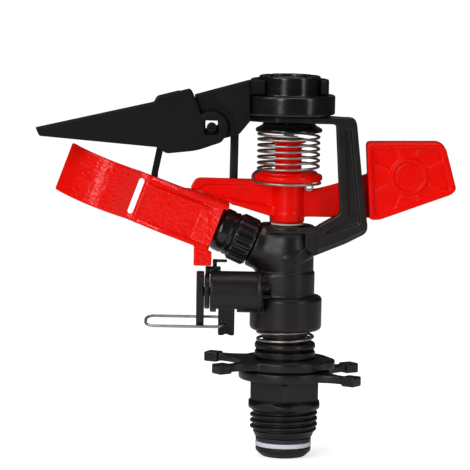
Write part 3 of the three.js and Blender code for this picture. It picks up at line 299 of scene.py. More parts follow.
thread_heights = np.arange(THREAD_LOW + 0.08, THREAD_HIGH - 0.03, 0.08)
nipple_profile = np.concatenate([
    rounded([[7.2, 33.3, 0.3], [7.2, 6.3, 0.2], [8.9, 6.3, 0.3], [9.3, THREAD_LOW, 0.2]])[:-1],
    np.stack([np.full_like(thread_heights, THREAD_ROOT), thread_heights], axis=1),
    rounded([[9.3, THREAD_HIGH, 0.1], [10.5, THREAD_HIGH + 0.05, 0.3],
             [11.7, 15.9, 0.9], [11.7, 16.9, 0.9], [10.3, 17.9, 0.3], [10.3, 18.1, 0.1],
             [12.05, 18.5, 0.3], [12.05, 18.62, 0.02], [12.05, 20.18, 0.02], [12.05, 23.3, 0.3],
             [11.6, HEX_HIGH - 0.02, 0.1], [8.4, HEX_HIGH, 0.2], [8.4, 33.3, 0.3]], 3)[1:],
])
nipple = new_piece("threaded_nipple", *lathed(nipple_profile, 216, nipple_radius), satin_nylon)
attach(nipple, "nipple")
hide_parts("bearing_nipple")

# ------------------------------------------------------------- trip collars
# Two split nylon collars grip the nipple with some friction. Each has two
# fingers with block tips, which throw the trip pin over, and a clamping lobe.

STEP = 0.25  # mm between the points of a field of distances


def lattice(low, high, step=STEP):
    """Three open arrays of coordinates, a step apart, that cover a block and one step more."""
    return np.meshgrid(*[np.arange(a - step, b + 1.5 * step, step, dtype=np.float32)
                         for a, b in zip(low, high)], indexing="ij", sparse=True)


def meet(a, b, edge=0.0):
    """Where two bodies overlap: the larger distance, with a rounded edge of that radius between."""
    outside = np.hypot(np.maximum(a + edge, 0), np.maximum(b + edge, 0))
    return np.minimum(np.maximum(a, b), -edge) + outside


def melt(a, b, fillet=0.0):
    """Two bodies in one: the smaller distance, with a fillet of that radius in the corner."""
    return -meet(-a, -b, fillet)


def pare(a, b, edge=0.0):
    """The first body with the second cut out of it, and the cut's edge rounded."""
    return meet(a, -b, edge)


def bar(outline, along, low, high, edge=0.3):
    """A flat distance such as a round's or an outline's, carried from one height to another."""
    return meet(outline, np.abs(along - (low + high) / 2) - (high - low) / 2, edge)


def block(a, b, c, sides, edge=0.3):
    """A box between two sides in each direction: the distance outside it is to its nearest point."""
    gaps = [np.abs(p - (u + v) / 2) - (v - u) / 2 + edge for p, (u, v) in zip((a, b, c), sides)]
    outside = np.sqrt(sum(np.maximum(g, 0) ** 2 for g in gaps))
    return outside + np.minimum(np.maximum(np.maximum(gaps[0], gaps[1]), gaps[2]), 0) - edge


def inside_line(corners, a, b):
    """The distance to the nearest side of a closed line, negative where the sides wind round."""
    nearest, odd = np.float32(1e9), False
    ends = np.asarray(corners, np.float32)[:, :2]
    for (a0, b0), (a1, b1) in zip(ends, np.roll(ends, -1, axis=0)):
        da, db = a1 - a0, b1 - b0
        t = np.clip(((a - a0) * da + (b - b0) * db) / max(da * da + db * db, 1e-9), 0, 1)
        nearest = np.minimum(nearest, (a - a0 - t * da) ** 2 + (b - b0 - t * db) ** 2)
        if abs(db) > 1e-6:
            odd = odd ^ (((b0 <= b) != (b1 <= b)) & (a < a0 + (b - b0) * da / db))
    return np.where(odd, -1, 1) * np.sqrt(nearest)


def skin(field, axes):
    """The surface where a field of distances is zero. Each cell that it passes through gets one
    vertex, at the mean of the points where it cuts the cell's edges, and each cut edge one quad."""
    step = float(axes[0].ravel()[1] - axes[0].ravel()[0])
    field = np.pad(field.astype(np.float32), 1, constant_values=step)
    shape = np.array(field.shape) - 1
    cells, cuts, quads, made = [], [], [], 0
    for axis in range(3):
        low = np.take(field, range(shape[axis]), axis)
        high = np.take(field, range(1, shape[axis] + 1), axis)
        spot = np.stack(np.nonzero((low < 0) != (high < 0)), axis=1)
        f0, f1 = low[tuple(spot.T)], high[tuple(spot.T)]
        cut = spot.astype(float)
        cut[:, axis] += f0 / (f0 - f1)
        one, two = (axis + 1) % 3, (axis + 2) % 3
        for back_one, back_two in ((0, 0), (1, 0), (1, 1), (0, 1)):
            cell = spot.copy()
            cell[:, one] -= back_one
            cell[:, two] -= back_two
            cells.append(np.ravel_multi_index(tuple(cell.T), shape))
            cuts.append(cut)
        ring = made + np.arange(4)[None, :] * len(spot) + np.arange(len(spot))[:, None]
        quads.append(np.where((f0 < 0)[:, None], ring, ring[:, ::-1]))
        made += 4 * len(spot)
    _, place = np.unique(np.concatenate(cells), return_inverse=True)
    cuts, count = np.concatenate(cuts), np.bincount(place)
    mean = np.stack([np.bincount(place, cuts[:, i]) / count for i in range(3)], axis=1)
    origin = np.array([float(a.ravel()[0]) - step for a in axes])
    return origin + mean * step, place[np.concatenate(quads)]


COLLAR_OUTER, COLLAR_BORE, COLLAR_HEIGHT = 14.3, 8.7, 3.1
FINGER_REACH, FINGER_TIP, LOBE_OUT, LOBE_RADIUS = 27.0, 4.6, 10.7, 5.0
LOWER_COLLAR, UPPER_COLLAR = 24.3, 27.7  # the height of each collar's underside


def facing(x, y, degrees):
    """How far out in one direction from the Z axis, and how far to the left of that direction."""
    turn = math.radians(degrees)
    return x * math.cos(turn) + y * math.sin(turn), y * math.cos(turn) - x * math.sin(turn)


def trip_collar(bottom, finger_angles, lobe_angle):
    """A ring with a rounded rim, two waisted fingers that flow out of it, and a split lobe."""
    axes = lattice((-27.5, -27.5, bottom), (27.5, 27.5, bottom + COLLAR_HEIGHT), 0.3)
    x, y, z = axes
    around = np.hypot(x, y)
    top = bottom + COLLAR_HEIGHT
    turn = math.radians(lobe_angle)
    lobe = np.hypot(x - LOBE_OUT * math.cos(turn), y - LOBE_OUT * math.sin(turn)) - LOBE_RADIUS
    body = bar(melt(around - COLLAR_OUTER, lobe, 0.8), z, bottom, top, 0.7)
    body = pare(body, bar(np.abs(around - 12.3) - 0.7, z, top - 0.4, top + 2, 0.1), 0.2)
    for angle in finger_angles:
        out, side = facing(x, y, angle)
        half = 1.35 + 0.05 * np.maximum(21.5 - out, 0) ** 2
        arm = meet(np.abs(side) - half, np.abs(out - 18.5) - 7.5)
        body = melt(body, bar(arm, z, bottom + 0.35, bottom + 2.75, 0.25), 0.4)
        tip = block(out, side, z, ((FINGER_REACH - FINGER_TIP, FINGER_REACH),
                                   (-FINGER_TIP / 2, FINGER_TIP / 2), (bottom, top)), 0.35)
        body = melt(body, tip, 0.4)
    out, side = facing(x, y, lobe_angle)
    split = block(out, side, z, ((6, 18), (-0.4, 0.4), (bottom - 2, top + 2)), 0.0)
    body = pare(pare(body, bar(around - COLLAR_BORE, z, bottom - 2, top + 2), 0.3), split, 0.1)
    return skin(body, axes)


points, faces = trip_collar(LOWER_COLLAR, (-34.6, 34.6), 100)
lower_collar = new_piece("lower_collar_ring", points, faces, satin_nylon, seams=False)
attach(lower_collar, "lower_collar")
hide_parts("lower_trip_collar")

points, faces = trip_collar(UPPER_COLLAR, (154, 218), -8)
upper_collar = new_piece("upper_collar_ring", points, faces, satin_nylon, seams=False)
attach(upper_collar, "upper_collar")
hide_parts("upper_trip_collar")

# ------------------------------------- retainer, thrust washer and their spring
# A pressed-on nylon ring keeps the collars down, a thrust washer rides on top
# of the nipple, and a stainless spring pushes the head up against the inlet.

retainer = new_piece("retainer_ring", *lathed(rounded([
    [8.6, 31.1, 0.1], [9.4, 31.1, 0.3], [9.4, 33.1, 0.8], [8.6, 33.1, 0.1],
])), satin_nylon)
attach(retainer, "nipple")
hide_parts("collar_retainer")

thrust = new_piece("thrust_ring", *lathed(rounded([
    [7.2, 33.5, 0.1], [9.0, 33.5, 0.4], [9.5, 34.4, 0.5],
    [9.3, 35.6, 0.6], [8.6, 35.9, 0.3], [7.2, 35.9, 0.1],
])), satin_nylon)
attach(thrust, "nipple")
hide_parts("thrust_washer")

# Stainless spring wire, cold drawn: a warm mid grey, with fine scratches and a few duller patches.
steel_wire, tree, out = new_material("drawn stainless spring wire")
place = add(tree, "ShaderNodeTexCoord").outputs["Object"]
patches = add(tree, "ShaderNodeTexNoise", {"Vector": place, "Scale": 1 / 0.0015, "Detail": 3.0})
shine = add(tree, "ShaderNodeMapRange", {
    "Value": patches.outputs["Fac"], "From Min": 0.3, "From Max": 0.7, "To Min": 0.34, "To Max": 0.46})
tone = add(tree, "ShaderNodeMix", {
    "Factor": patches.outputs["Fac"], "A": linear("#98908A"), "B": linear("#C4BCB4")}, data_type="RGBA")
scratches = add(tree, "ShaderNodeTexNoise", {"Vector": place, "Scale": 1 / 0.00012, "Detail": 2.0})
bump = add(tree, "ShaderNodeBump", {
    "Height": scratches.outputs["Fac"], "Strength": 0.6, "Distance": 0.000001})
surface = add(tree, "ShaderNodeBsdfPrincipled", {
    "Base Color": tone.outputs["Result"], "Metallic": 1.0, "Roughness": shine.outputs["Result"],
    "Normal": bump.outputs["Normal"]})
tree.links.new(surface.outputs[0], out.inputs["Surface"])


def wire(path, radius, up, sides=10):
    """A round section carried along a path: one direction of each ring is square to the path and
    to a given direction, the other square to both, and the ends close in quarter circles."""
    path, up = np.asarray(path, float), np.broadcast_to(np.asarray(up, float), np.shape(path))
    ahead = np.gradient(path, axis=0)
    ahead /= np.linalg.norm(ahead, axis=1, keepdims=True)
    close = np.linspace(math.pi / 2, 0, 4, endpoint=False)[:, None]
    start = path[:1] - ahead[:1] * radius * np.sin(close)
    finish = path[-1:] + ahead[-1:] * radius * np.sin(close[::-1])
    size = np.concatenate([np.cos(close), np.ones((len(path), 1)), np.cos(close[::-1])]) * radius
    ahead = np.concatenate([np.repeat(ahead[:1], 4, axis=0), ahead, np.repeat(ahead[-1:], 4, axis=0)])
    up = np.concatenate([np.repeat(up[:1], 4, axis=0), up, np.repeat(up[-1:], 4, axis=0)])
    path = np.concatenate([start, path, finish])
    across = np.cross(ahead, up)
    across /= np.linalg.norm(across, axis=1, keepdims=True)
    over = np.cross(across, ahead)
    angle = np.linspace(0, 2 * math.pi, sides, endpoint=False)[None, :, None]
    ring = across[:, None] * np.cos(angle) + over[:, None] * np.sin(angle)
    points = path[:, None] + ring * size[:, None]
    return points.reshape(-1, 3), grid_faces(len(path), sides, False, True)


def coil(radius, low, high, turns, ground=0.0, start=0.0):
    """The path of a helix about Z; near each end the climb eases off by the ground share of a turn."""
    t = np.linspace(0, 1, int(turns * 72))
    share = ground / turns
    climb = np.clip((t - share) / (1 - 2 * share), 0, 1)
    angle = start + t * turns * 2 * math.pi
    return np.stack([radius * np.cos(angle), radius * np.sin(angle), low + (high - low) * climb], axis=1)


LOWER_COIL, LOWER_WIRE, LOWER_LOW, LOWER_HIGH, LOWER_TURNS = 8.6, 0.45, 36.65, 45.25, 4.6

lower_spring = new_piece("bearing_spring_wire", *wire(
    coil(LOWER_COIL, LOWER_LOW, LOWER_HIGH, LOWER_TURNS, 0.6, 0.4), LOWER_WIRE, (0, 0, 1)), steel_wire)
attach(lower_spring, "head")
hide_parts("bearing_spring")

# ----------------------------------------------------------------- main body
# One nylon moulding: the skirt over the spring, the waist, the slanting barrel
# for the nozzle, the trip barrel across the front, and the saddle for the arm.

SKIRT_RADIUS, WAIST_RADIUS, NECK_RADIUS = 11.15, 8.8, 8.4
SKIRT_LOW, SKIRT_TOP, WAIST_TOP, SADDLE_TOP = 39.7, 50.4, 57.9, 72.3
NOZZLE_TILT, NUT_X, NUT_Z = math.radians(24), -13.6, 67.6
TRIP_Y, TRIP_Z, TRIP_RADIUS, TRIP_BORE = -9.0, 52.3, 6.35, 4.9


def from_nozzle(x, y, z):
    """How far along the nozzle's axis from the nut's middle, and how far out from that axis."""
    along = (z - NUT_Z) * math.sin(NOZZLE_TILT) - (x - NUT_X) * math.cos(NOZZLE_TILT)
    beside = (x - NUT_X) * math.sin(NOZZLE_TILT) + (z - NUT_Z) * math.cos(NOZZLE_TILT)
    return along, np.hypot(beside, y)


axes = lattice((-24.2, -16.2, 39.3), (12, 12, 74.6))
x, y, z = axes
around = np.hypot(x, y)
along, off_nozzle = from_nozzle(x, y, z)
off_trip = np.hypot(y - TRIP_Y, z - TRIP_Z)
narrowing = np.clip((z - 63.8) / 5.4, 0, 1)
neck = bar(around - (NECK_RADIUS - 0.9 * narrowing * narrowing * (3 - 2 * narrowing)), z, 50, 71, 0.3)
body = melt(bar(around - SKIRT_RADIUS, z, SKIRT_LOW, SKIRT_TOP, 1.3),
            bar(around - WAIST_RADIUS, z, 45, WAIST_TOP, 0.25), 0.5)
body = melt(body, neck, 0.25)
body = melt(body, bar(around - NECK_RADIUS, z, SADDLE_TOP - 2.1, SADDLE_TOP, 0.5), 0.6)
body = melt(body, bar(off_nozzle - 7.0, along, -14.9, -3.55, 0.6), 2.4)
body = melt(body, block(x, y, z, ((-8.3, -4), (0, 6.4), (67.3, SADDLE_TOP)), 0.5), 0.8)
lower_arm = inside_line(rounded([
    [-1.6, 62.7, 1.2], [9.9, 68.1], [11, 64.4], [8.4, 63.0], [1.0, 59.9, 1.6]]), x, z)
tongue = meet(meet(lower_arm, around - 8.95, 0.35), y, 0.3)
body = melt(body, tongue, 0.25)
trip = bar(off_trip - TRIP_RADIUS, x, -23.5, -7.4, 0.5)
trip = pare(trip, bar(np.abs(off_trip - TRIP_RADIUS) - 0.25, x, -8.9, -8.5, 0.1), 0.1)
body = melt(body, block(x, y, z, ((-13.5, 0), (-8, -2), (47.1, 57.6)), 0.8), 0.8)
body = melt(body, block(x, y, z, ((-8.5, -5.0), (-10.6, -2), (50.4, 54.6)), 0.6), 0.4)
body = melt(body, trip, 0.7)
room = bar(off_nozzle - 7.85, along, -3.55, 14, 0.1)
body = melt(pare(body, room, 0.3), bar(off_nozzle - 5.6, along, -6, 2.75, 0.3), 0.2)
body = pare(body, bar(off_trip - TRIP_BORE, x, -26, -9.0, 0.2), 0.3)
body = pare(body, bar(off_trip - 1.6, x, -11, -5, 0.1), 0.2)
mouth = inside_line([(-14.63, 43.95), (-3.37, 43.95), (-7.4, 51.3), (-10.6, 51.3)], y, z)
body = pare(body, bar(mouth, x, -21.5, -15.2, 0.2), 0.2)
for hole, low, high in ((9.85, 30, 46.1), (7.1, 44, 48.7), (5.2, 44, 64.3), (1.8, 67.5, 76)):
    body = pare(body, bar(around - hole, z, low, high, 0.2), 0.25)
body = pare(body, bar(off_nozzle - 4.6, along, -14.9, 6, 0.2), 0.25)

main_body = new_piece("head_body", *skin(body, axes), satin_nylon, seams=False)
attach(main_body, "head")
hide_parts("main_body")

# -------------------------------------------------------------------- bridge
# The bridge is part of the same shot of nylon: a channelled upright in front,
# a flat bar over the arm spring, and a thin strut that bends in behind the
# arm's hub. A square ledge joins the upright's foot to the saddle.

BAR_LOW, BAR_TOP, UPRIGHT_NEAR, UPRIGHT_FAR = 104.2, 106.3, -6.5, -1.9
STRUT_NEAR, STRUT_FAR, STRUT_X = 3.6, 6.4, -16.7

axes = lattice((-18.6, -7, 62.8), (25.2, 7, 106.8))
x, y, z = axes
around = np.hypot(x, y)
along, off_nozzle = from_nozzle(x, y, z)
side = inside_line(rounded([
    [14.3, BAR_LOW, 1.6], [16.0, 76.6, 1.2], [9.6, 72.9, 0.6], [8.0, 71.6], [5.4, 70.6], [5.4, 65.9],
    [8.4, 63.4], [18.0, 67.4, 1.0], [24.9, 71.0, 2.2], [22.6, 88.5, 0.4], [20.6, BAR_TOP, 2.4],
    [12, BAR_TOP], [12, BAR_LOW]]), x, z)
bridge = bar(side, y, UPRIGHT_NEAR, UPRIGHT_FAR, 0.4)
channel = inside_line(rounded([
    [17.2, 102.6, 0.6], [18.8, 75.6, 0.8], [12.4, 71.2, 0.6], [11.4, 69.9, 0.6], [19.2, 72.6, 1.0],
    [22.2, 73.6, 1.0], [20.4, 88.6], [18.9, 102.6, 0.6]]), x, z)
bridge = pare(bridge, bar(channel, y, UPRIGHT_NEAR - 2, UPRIGHT_NEAR + 1.2, 0.2), 0.25)
step = inside_line(rounded([
    [9, 71.0], [11.8, 70.3], [19.0, 73.0], [24.0, 71.6], [18.2, 68.6], [9, 64.9]]), x, z)
bridge = pare(bridge, bar(step, y, UPRIGHT_NEAR - 2, UPRIGHT_NEAR + 0.35, 0.1), 0.2)
top_bar = inside_line(rounded([
    [-18.0, STRUT_NEAR, 0.6], [-9, -3.4, 1], [-4, UPRIGHT_NEAR, 1], [16.5, UPRIGHT_NEAR],
    [16.5, UPRIGHT_FAR], [8, 4.6, 1], [2, STRUT_FAR, 1], [-18.0, STRUT_FAR, 0.6]]), x, y)
bridge = melt(bridge, bar(top_bar, z, BAR_LOW, BAR_TOP, 0.35), 0.05)
strut = inside_line(rounded([
    [STRUT_X - 1.3, BAR_TOP - 0.4], [STRUT_X - 1.5, 77.9, 1.6], [-5.7, 75.7, 0.6], [-5.3, 71.9],
    [-3.4, 71.9], [-3.5, 76.0, 0.6], [-6.0, 77.3], [STRUT_X + 1.1, 80.0, 1.2],
    [STRUT_X + 1.3, BAR_TOP - 0.4]]), x, z)
bridge = melt(bridge, bar(strut, y, STRUT_NEAR, STRUT_FAR, 0.35), 0.3)
bridge = pare(bridge, bar(around - 5.7, z, 72.5, 79, 0.1), 0.2)
ledge = block(x, y, z, ((3, 10.3), (UPRIGHT_NEAR - 0.4, UPRIGHT_FAR), (70.2, SADDLE_TOP)), 0.3)
bridge = melt(bridge, ledge, 0.1)
bridge = pare(bridge, bar(around - 4.1, z, 100, 110, 0.1), 0.3)
bridge = pare(bridge, bar(off_nozzle - 7.85, along, -3.55, 14, 0.1), 0.3)

frame_moulding = new_piece("bridge_moulding", *skin(bridge, axes), satin_nylon, seams=False)
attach(frame_moulding, "head")
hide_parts("bridge_frame")

# ------------------------------------------------------------ nut and nozzle
# A ribbed nut screws on the barrel and holds the nozzle tip, which tapers and
# reaches behind the spoon's edge. A straightener sits out of sight in the barrel.

# Polished-mould nylon: darker and glossier than the body, with a faint ripple.
gloss_nylon = moulded_plastic("polished black nylon", "#110F11", "#1A1719", 0.22, 0.002, 0.02, 0.5)
# Cream acetal bearing pieces, turned and slightly waxy.
acetal = moulded_plastic("natural acetal", "#C9C4B4", "#DDD9CB", 0.42, 0.002, 0.01)

NUT_RADIUS, NUT_HALF, NUT_RIBS, RIB_HEIGHT = 7.1, 3.25, 18, 0.5


def on_nozzle(points):
    """Points of a piece built about Z, laid along the nozzle's axis with Z = 0 at the nut's middle."""
    ahead = np.array([-math.cos(NOZZLE_TILT), 0, math.sin(NOZZLE_TILT)])
    beside = np.array([math.sin(NOZZLE_TILT), 0, math.cos(NOZZLE_TILT)])
    across = np.cross(ahead, beside)
    return np.array([NUT_X, 0, NUT_Z]) + points @ np.stack([beside, across, ahead])


def ribbed(radius, angle, height):
    """Raised round-topped ribs, evenly spaced round the nut, that die out short of both faces."""
    wave = np.clip(np.cos(angle * NUT_RIBS) * 1.3 + 0.1, -0.5, 1)
    reach = np.clip((NUT_HALF - 0.35 - np.abs(height)) / 0.5, 0, 1)
    return radius + np.where(radius > 6.6, RIB_HEIGHT * wave * reach, 0)


nut_side = np.linspace(-NUT_HALF + 0.7, NUT_HALF - 0.7, 24)
nut_profile = np.concatenate([
    rounded([[5.8, NUT_HALF, 0.2], [5.8, -NUT_HALF, 0.2], [NUT_RADIUS, -NUT_HALF, 0.5]]),
    np.stack([np.full_like(nut_side, NUT_RADIUS), nut_side], axis=1),
    rounded([[NUT_RADIUS, NUT_HALF, 0.5], [5.8, NUT_HALF, 0.2], [5.8, -NUT_HALF, 0.2]])[:8],
])
points, faces = lathed(nut_profile, 324, ribbed)
nut = new_piece("ribbed_nut", on_nozzle(points), faces, gloss_nylon)
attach(nut, "head")
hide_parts("nozzle_nut")

TIP_RADIUS, TIP_BACK, TIP_FRONT, TIP_FACE, ORIFICE = 6.85, 3.45, 9.8, 6.05, 2.2

points, faces = lathed(rounded([
    [ORIFICE, TIP_BACK, 0.2], [TIP_RADIUS, TIP_BACK, 0.2], [TIP_RADIUS, 4.5, 0.1],
    [TIP_RADIUS - 0.25, 4.7, 0.1], [TIP_RADIUS - 0.25, 5.1, 0.1], [TIP_RADIUS, 5.3, 0.1],
    [TIP_RADIUS, 7.6, 0.5], [TIP_FACE, TIP_FRONT, 0.5], [4.4, TIP_FRONT, 0.4],
    [3.4, 7.6, 0.4], [ORIFICE, 5.6, 0.3]]))
tip = new_piece("nozzle_tip", on_nozzle(points), faces, gloss_nylon)
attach(tip, "head")
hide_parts("nozzle")

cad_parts["jet_straightener"].material_slots[0].material = acetal

# --------------------------------------- arm shaft, washer and bushing
# The arm turns on a steel pin pressed into the saddle, with a cream bushing
# inside its hub and a thin washer under it.

shaft = new_piece("arm_pin", *lathed(rounded([
    [0.001, 67.7], [1.6, 67.7, 0.3], [1.6, 116, 0.4], [0.001, 116]])), steel_wire)
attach(shaft, "head")
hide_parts("arm_shaft")

arm_washer = new_piece("arm_washer_ring", *lathed(rounded([
    [1.8, 72.5, 0.05], [5.1, 72.5, 0.1], [5.1, 73.0, 0.1], [1.8, 73.0, 0.05]])), acetal)
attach(arm_washer, "head")
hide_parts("arm_washer")

bushing = new_piece("arm_bushing_sleeve", *lathed(rounded([
    [1.9, 73.5, 0.1], [2.5, 73.5, 0.1], [2.5, 99.2, 0.1], [1.9, 99.2, 0.1]])), acetal)
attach(bushing, "arm")
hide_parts("arm_bushing")

# ---------------------------------------------------------------- rocker arm
# One shot of red acetal: a hub with a spring disc, two thin webs, and the flat
# counterweight with a raised rim, radiating ribs and a plain raised ring.

# Red acetal from a polished mould: saturated, glossy, with a rippled skin.
red_acetal = moulded_plastic("glossy red acetal", "#FA0700", "#FF0F02", 0.28, 0.004, 0.06, 0.16, 1.6)

HUB_RADIUS, DISC_RADIUS, DISC_LOW, DISC_TOP = 5.1, 10.6, 86.0, 89.0
WEB_HALF, WEIGHT_HALF, WEIGHT_RIM, WEIGHT_DEEP = 1.5, 5.2, 1.5, 1.5
RING_X, RING_Z, RING_RADIUS = 37.2, 88.3, 5.7
SPOON_TILT, SPOON_RISE = math.radians(20.1), 63.9


def on_spoon(along, across):
    """A place in X and Z from how far it is along the spoon and how far above its middle line."""
    return [-along * math.cos(SPOON_TILT) + across * math.sin(SPOON_TILT),
            SPOON_RISE + along * math.sin(SPOON_TILT) + across * math.cos(SPOON_TILT)]


def inset(corners, depth):
    """A closed line moved inward: each corner goes along the mean of its two sides' normals."""
    spots = np.array([c[:2] for c in corners], float)
    ahead = np.roll(spots, -1, axis=0) - spots
    ahead /= np.hypot(*ahead.T)[:, None]
    square = np.stack([ahead[:, 1], -ahead[:, 0]], axis=1)
    area = np.sum(spots[:, 0] * np.roll(spots[:, 1], -1) - spots[:, 1] * np.roll(spots[:, 0], -1))
    square *= -np.sign(area)
    both = square + np.roll(square, 1, axis=0)
    both *= depth * 2 / np.sum(both * both, axis=1, keepdims=True)
    return [[*(spot + move), 0.9] for spot, move in zip(spots, both)]


axes = lattice((-31.6, -10.9, 73.0), (52.0, 10.9, 99.4))
x, y, z = axes
around = np.hypot(x, y)
arm = melt(bar(around - HUB_RADIUS, z, 73.3, 87, 0.3),
           bar(around - DISC_RADIUS, z, DISC_LOW, DISC_LOW + 2.2, 0.9), 0.7)
arm = melt(arm, bar(around - DISC_RADIUS + 1.6, z, DISC_LOW + 1, DISC_TOP, 0.3), 0.4)
arm = melt(arm, bar(around - 4.1, z, 86, 98.2, 0.2), 0.5)
arm = melt(arm, bar(around - 5.3, z, 97.8, 99.2, 0.4), 0.3)
left = [[2, 86.2], [-28.5, 86.5, 2.4], [*on_spoon(35.0, 7.9), 0.5], [*on_spoon(21.8, 7.9), 0.5],
        [-5.6, 75.2, 0.8], [2, 75.2]]
web = bar(inside_line(rounded(left), x, z), y, -WEB_HALF, WEB_HALF, 0.3)
panel = inside_line(rounded([[-5.9, 84.4, 0.5], [-25.6, 84.7, 1.6], [-28.0, 82.6, 0.8],
                             [-19.0, 80.5, 0.6], [-5.9, 77.8, 0.5]]), x, z)
web = pare(web, bar(panel, y, -4, -WEB_HALF + 0.55, 0.1), 0.25)
web = pare(web, bar(panel, y, WEB_HALF - 0.55, 4, 0.1), 0.25)
flange = inside_line(rounded([
    [0, 77.4], [0, 75.2], [-5.6, 75.2], [*on_spoon(21.6, 7.9), 0.3], [-18.2, 80.2, 0.6]]), x, z)
web = melt(web, bar(flange, y, -3.1, WEB_HALF, 0.5), 0.05)
right = inside_line(rounded([
    [-2, 75.0], [25.4, 75.0], [24.4, 88.6], [15.2, 85.4, 3], [8.8, 83.6, 2], [-2, 83.4]]), x, z)
arm = melt(arm, melt(web, bar(right, y, -WEB_HALF, WEB_HALF, 0.3), 0.05), 0.7)
arm = melt(arm, bar(around - 5.25, z, 73.3, 76.4, 0.4), 0.2)
face = [[23.8, 98.4, 1.6], [46.2, 98.8, 2.6], [48.3, 97.4, 1.4], [51.8, 84.6, 1.6],
        [50.4, 83.0, 1.2], [28.1, 74.7, 1.4], [25.2, 74.8, 0.9]]
weight = bar(inside_line(rounded(face), x, z), y, -WEIGHT_HALF, WEIGHT_HALF, 0.5)
pocket = inside_line(rounded(inset(face, WEIGHT_RIM)), x, z)
off_ring = np.hypot(x - RING_X, z - RING_Z)
bearing = np.arctan2(z - RING_Z, x - RING_X)
ribs = np.abs(np.sin((bearing + 0.35) * 4)) * off_ring / 4 - 0.22
ribs = meet(ribs, RING_RADIUS + 1.0 - off_ring)
for front in (-1, 1):
    deep = WEIGHT_HALF - WEIGHT_DEEP
    weight = pare(weight, bar(pocket, y * front, deep, 9, 0.2), 0.35)
    weight = melt(weight, bar(meet(ribs, pocket), y * front, deep - 1, deep + 0.28, 0.1), 0.2)
    weight = melt(weight, bar(np.abs(off_ring - RING_RADIUS + 0.55) - 0.55, y * front,
                              deep - 1, deep + 0.85, 0.3), 0.4)
    weight = melt(weight, bar(off_ring - RING_RADIUS + 1.6, y * front, deep - 1, deep + 0.3, 0.2), 0.2)
arm = melt(arm, weight, 0.4)
arm = pare(arm, bar(around - 2.7, z, 70, 102, 0.1), 0.2)
arm = pare(arm, bar(np.hypot(x - 7.2, z - DISC_LOW + 1.4) - 1.1, y, -5, 5, 0.1), 0.2)

rocker = new_piece("rocker_arm_moulding", *skin(arm, axes), red_acetal, seams=False)
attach(rocker, "arm")
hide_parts("rocker_arm")

# --------------------------------------------------------------- arm's spoon
# The spoon is moulded with the arm: a flat window with rims that the jet
# meets first, a slot, and the curved vane that throws the arm aside.

# The same acetal, but the spoon's mould was lapped crosswise: fine waves run across it.
red_lapped = moulded_plastic("lapped red acetal", "#F80700", "#FF1204", 0.24, 0.004, 0.14, 0.3, 1.2)
tree = red_lapped.node_tree
waves = add(tree, "ShaderNodeTexWave", {
    "Vector": add(tree, "ShaderNodeMapping", {
        "Vector": add(tree, "ShaderNodeTexCoord").outputs["Object"],
        "Rotation": (0, -SPOON_TILT, 0)}).outputs[0],
    "Scale": 1 / 0.0042, "Distortion": 6.0, "Detail": 2.0, "Detail Scale": 0.6}, bands_direction="Z")
lines = add(tree, "ShaderNodeBump", {
    "Height": waves.outputs["Fac"], "Strength": 1.0, "Distance": 0.00001})
first = next(n for n in tree.nodes if n.type == "BUMP" and not n.inputs["Normal"].is_linked)
tree.links.new(lines.outputs["Normal"], first.inputs["Normal"])

SPOON_HALF, SPOON_WALL, SPOON_SLOT, SPOON_END = 7.7, 1.5, 49.8, 74.0
VANE_ALONG, VANE_Y, VANE_RADIUS = 58.9, 9.0, 17.0
FLANGE_NEAR, WALL_FAR, SLOT_HALF, SLOT_WIDTH = -8.6, -4.9, 5.7, 1.7

axes = lattice((-74.4, -11.0, -13.4), (-19.0, 2.2, 8.1))
back, y, up = axes  # the spoon is worked out lying level, with its free end towards -X
along = -back
bend = np.linspace(math.asin((SPOON_SLOT + 0.85 - VANE_ALONG) / VANE_RADIUS),
                   math.asin((SPOON_END - VANE_ALONG) / VANE_RADIUS), 16)
outer = np.stack([VANE_ALONG + VANE_RADIUS * np.sin(bend), VANE_Y - VANE_RADIUS * np.cos(bend)], axis=1)
inner = np.stack([VANE_ALONG + (VANE_RADIUS - SPOON_WALL) * np.sin(bend[::-1]),
                  VANE_Y - (VANE_RADIUS - SPOON_WALL) * np.cos(bend[::-1])], axis=1)
plan = np.concatenate([
    [[29.5, WALL_FAR], [23.2, -7.2], [23.2, FLANGE_NEAR], [29.5, WALL_FAR - SPOON_WALL],
     [47.0, -6.4], [49.2, -6.15]], outer, inner])
spoon = bar(inside_line(plan, along, y), up, -SPOON_HALF, SPOON_HALF, 0.3)
rim_top = inside_line(rounded([
    [21.8, WEB_HALF, 0.4], [21.8, FLANGE_NEAR, 0.4], [39.5, FLANGE_NEAR, 6], [48.1, -6.4, 1],
    [48.1, WALL_FAR], [37, -4.5, 2], [35, WEB_HALF, 1]]), along, y)
spoon = melt(spoon, bar(rim_top, up, SPOON_HALF - 1.5, SPOON_HALF, 0.35), 0.12)
rim_low = inside_line(rounded([
    [29.5, WALL_FAR], [23.2, -7.2, 0.3], [23.2, FLANGE_NEAR, 0.4], [39.5, FLANGE_NEAR, 6],
    [48.1, -6.4, 1], [48.1, WALL_FAR]]), along, y)
spoon = melt(spoon, bar(rim_low, up, -SPOON_HALF, -SPOON_HALF + 1.5, 0.35), 0.12)
inner_rim = meet(np.abs(y + 7.0) - 0.75, np.abs(along - 35.5) - 12.0)
spoon = melt(spoon, bar(inner_rim, up, SPOON_HALF - 3.4, SPOON_HALF - 2.6, 0.3), 0.2)
cross = meet(np.abs(y + 6.4) - 0.45, np.abs(along - 47.9) - 0.5)
spoon = melt(spoon, bar(cross, up, -SPOON_HALF + 0.5, SPOON_HALF - 0.5, 0.2), 0.3)
slot = bar(np.hypot(np.maximum(np.abs(up) - SLOT_HALF + 0.7, 0), along - SPOON_SLOT) - SLOT_WIDTH / 2,
           y, -14, 0, 0.1)
spoon = pare(spoon, slot, 0.2)
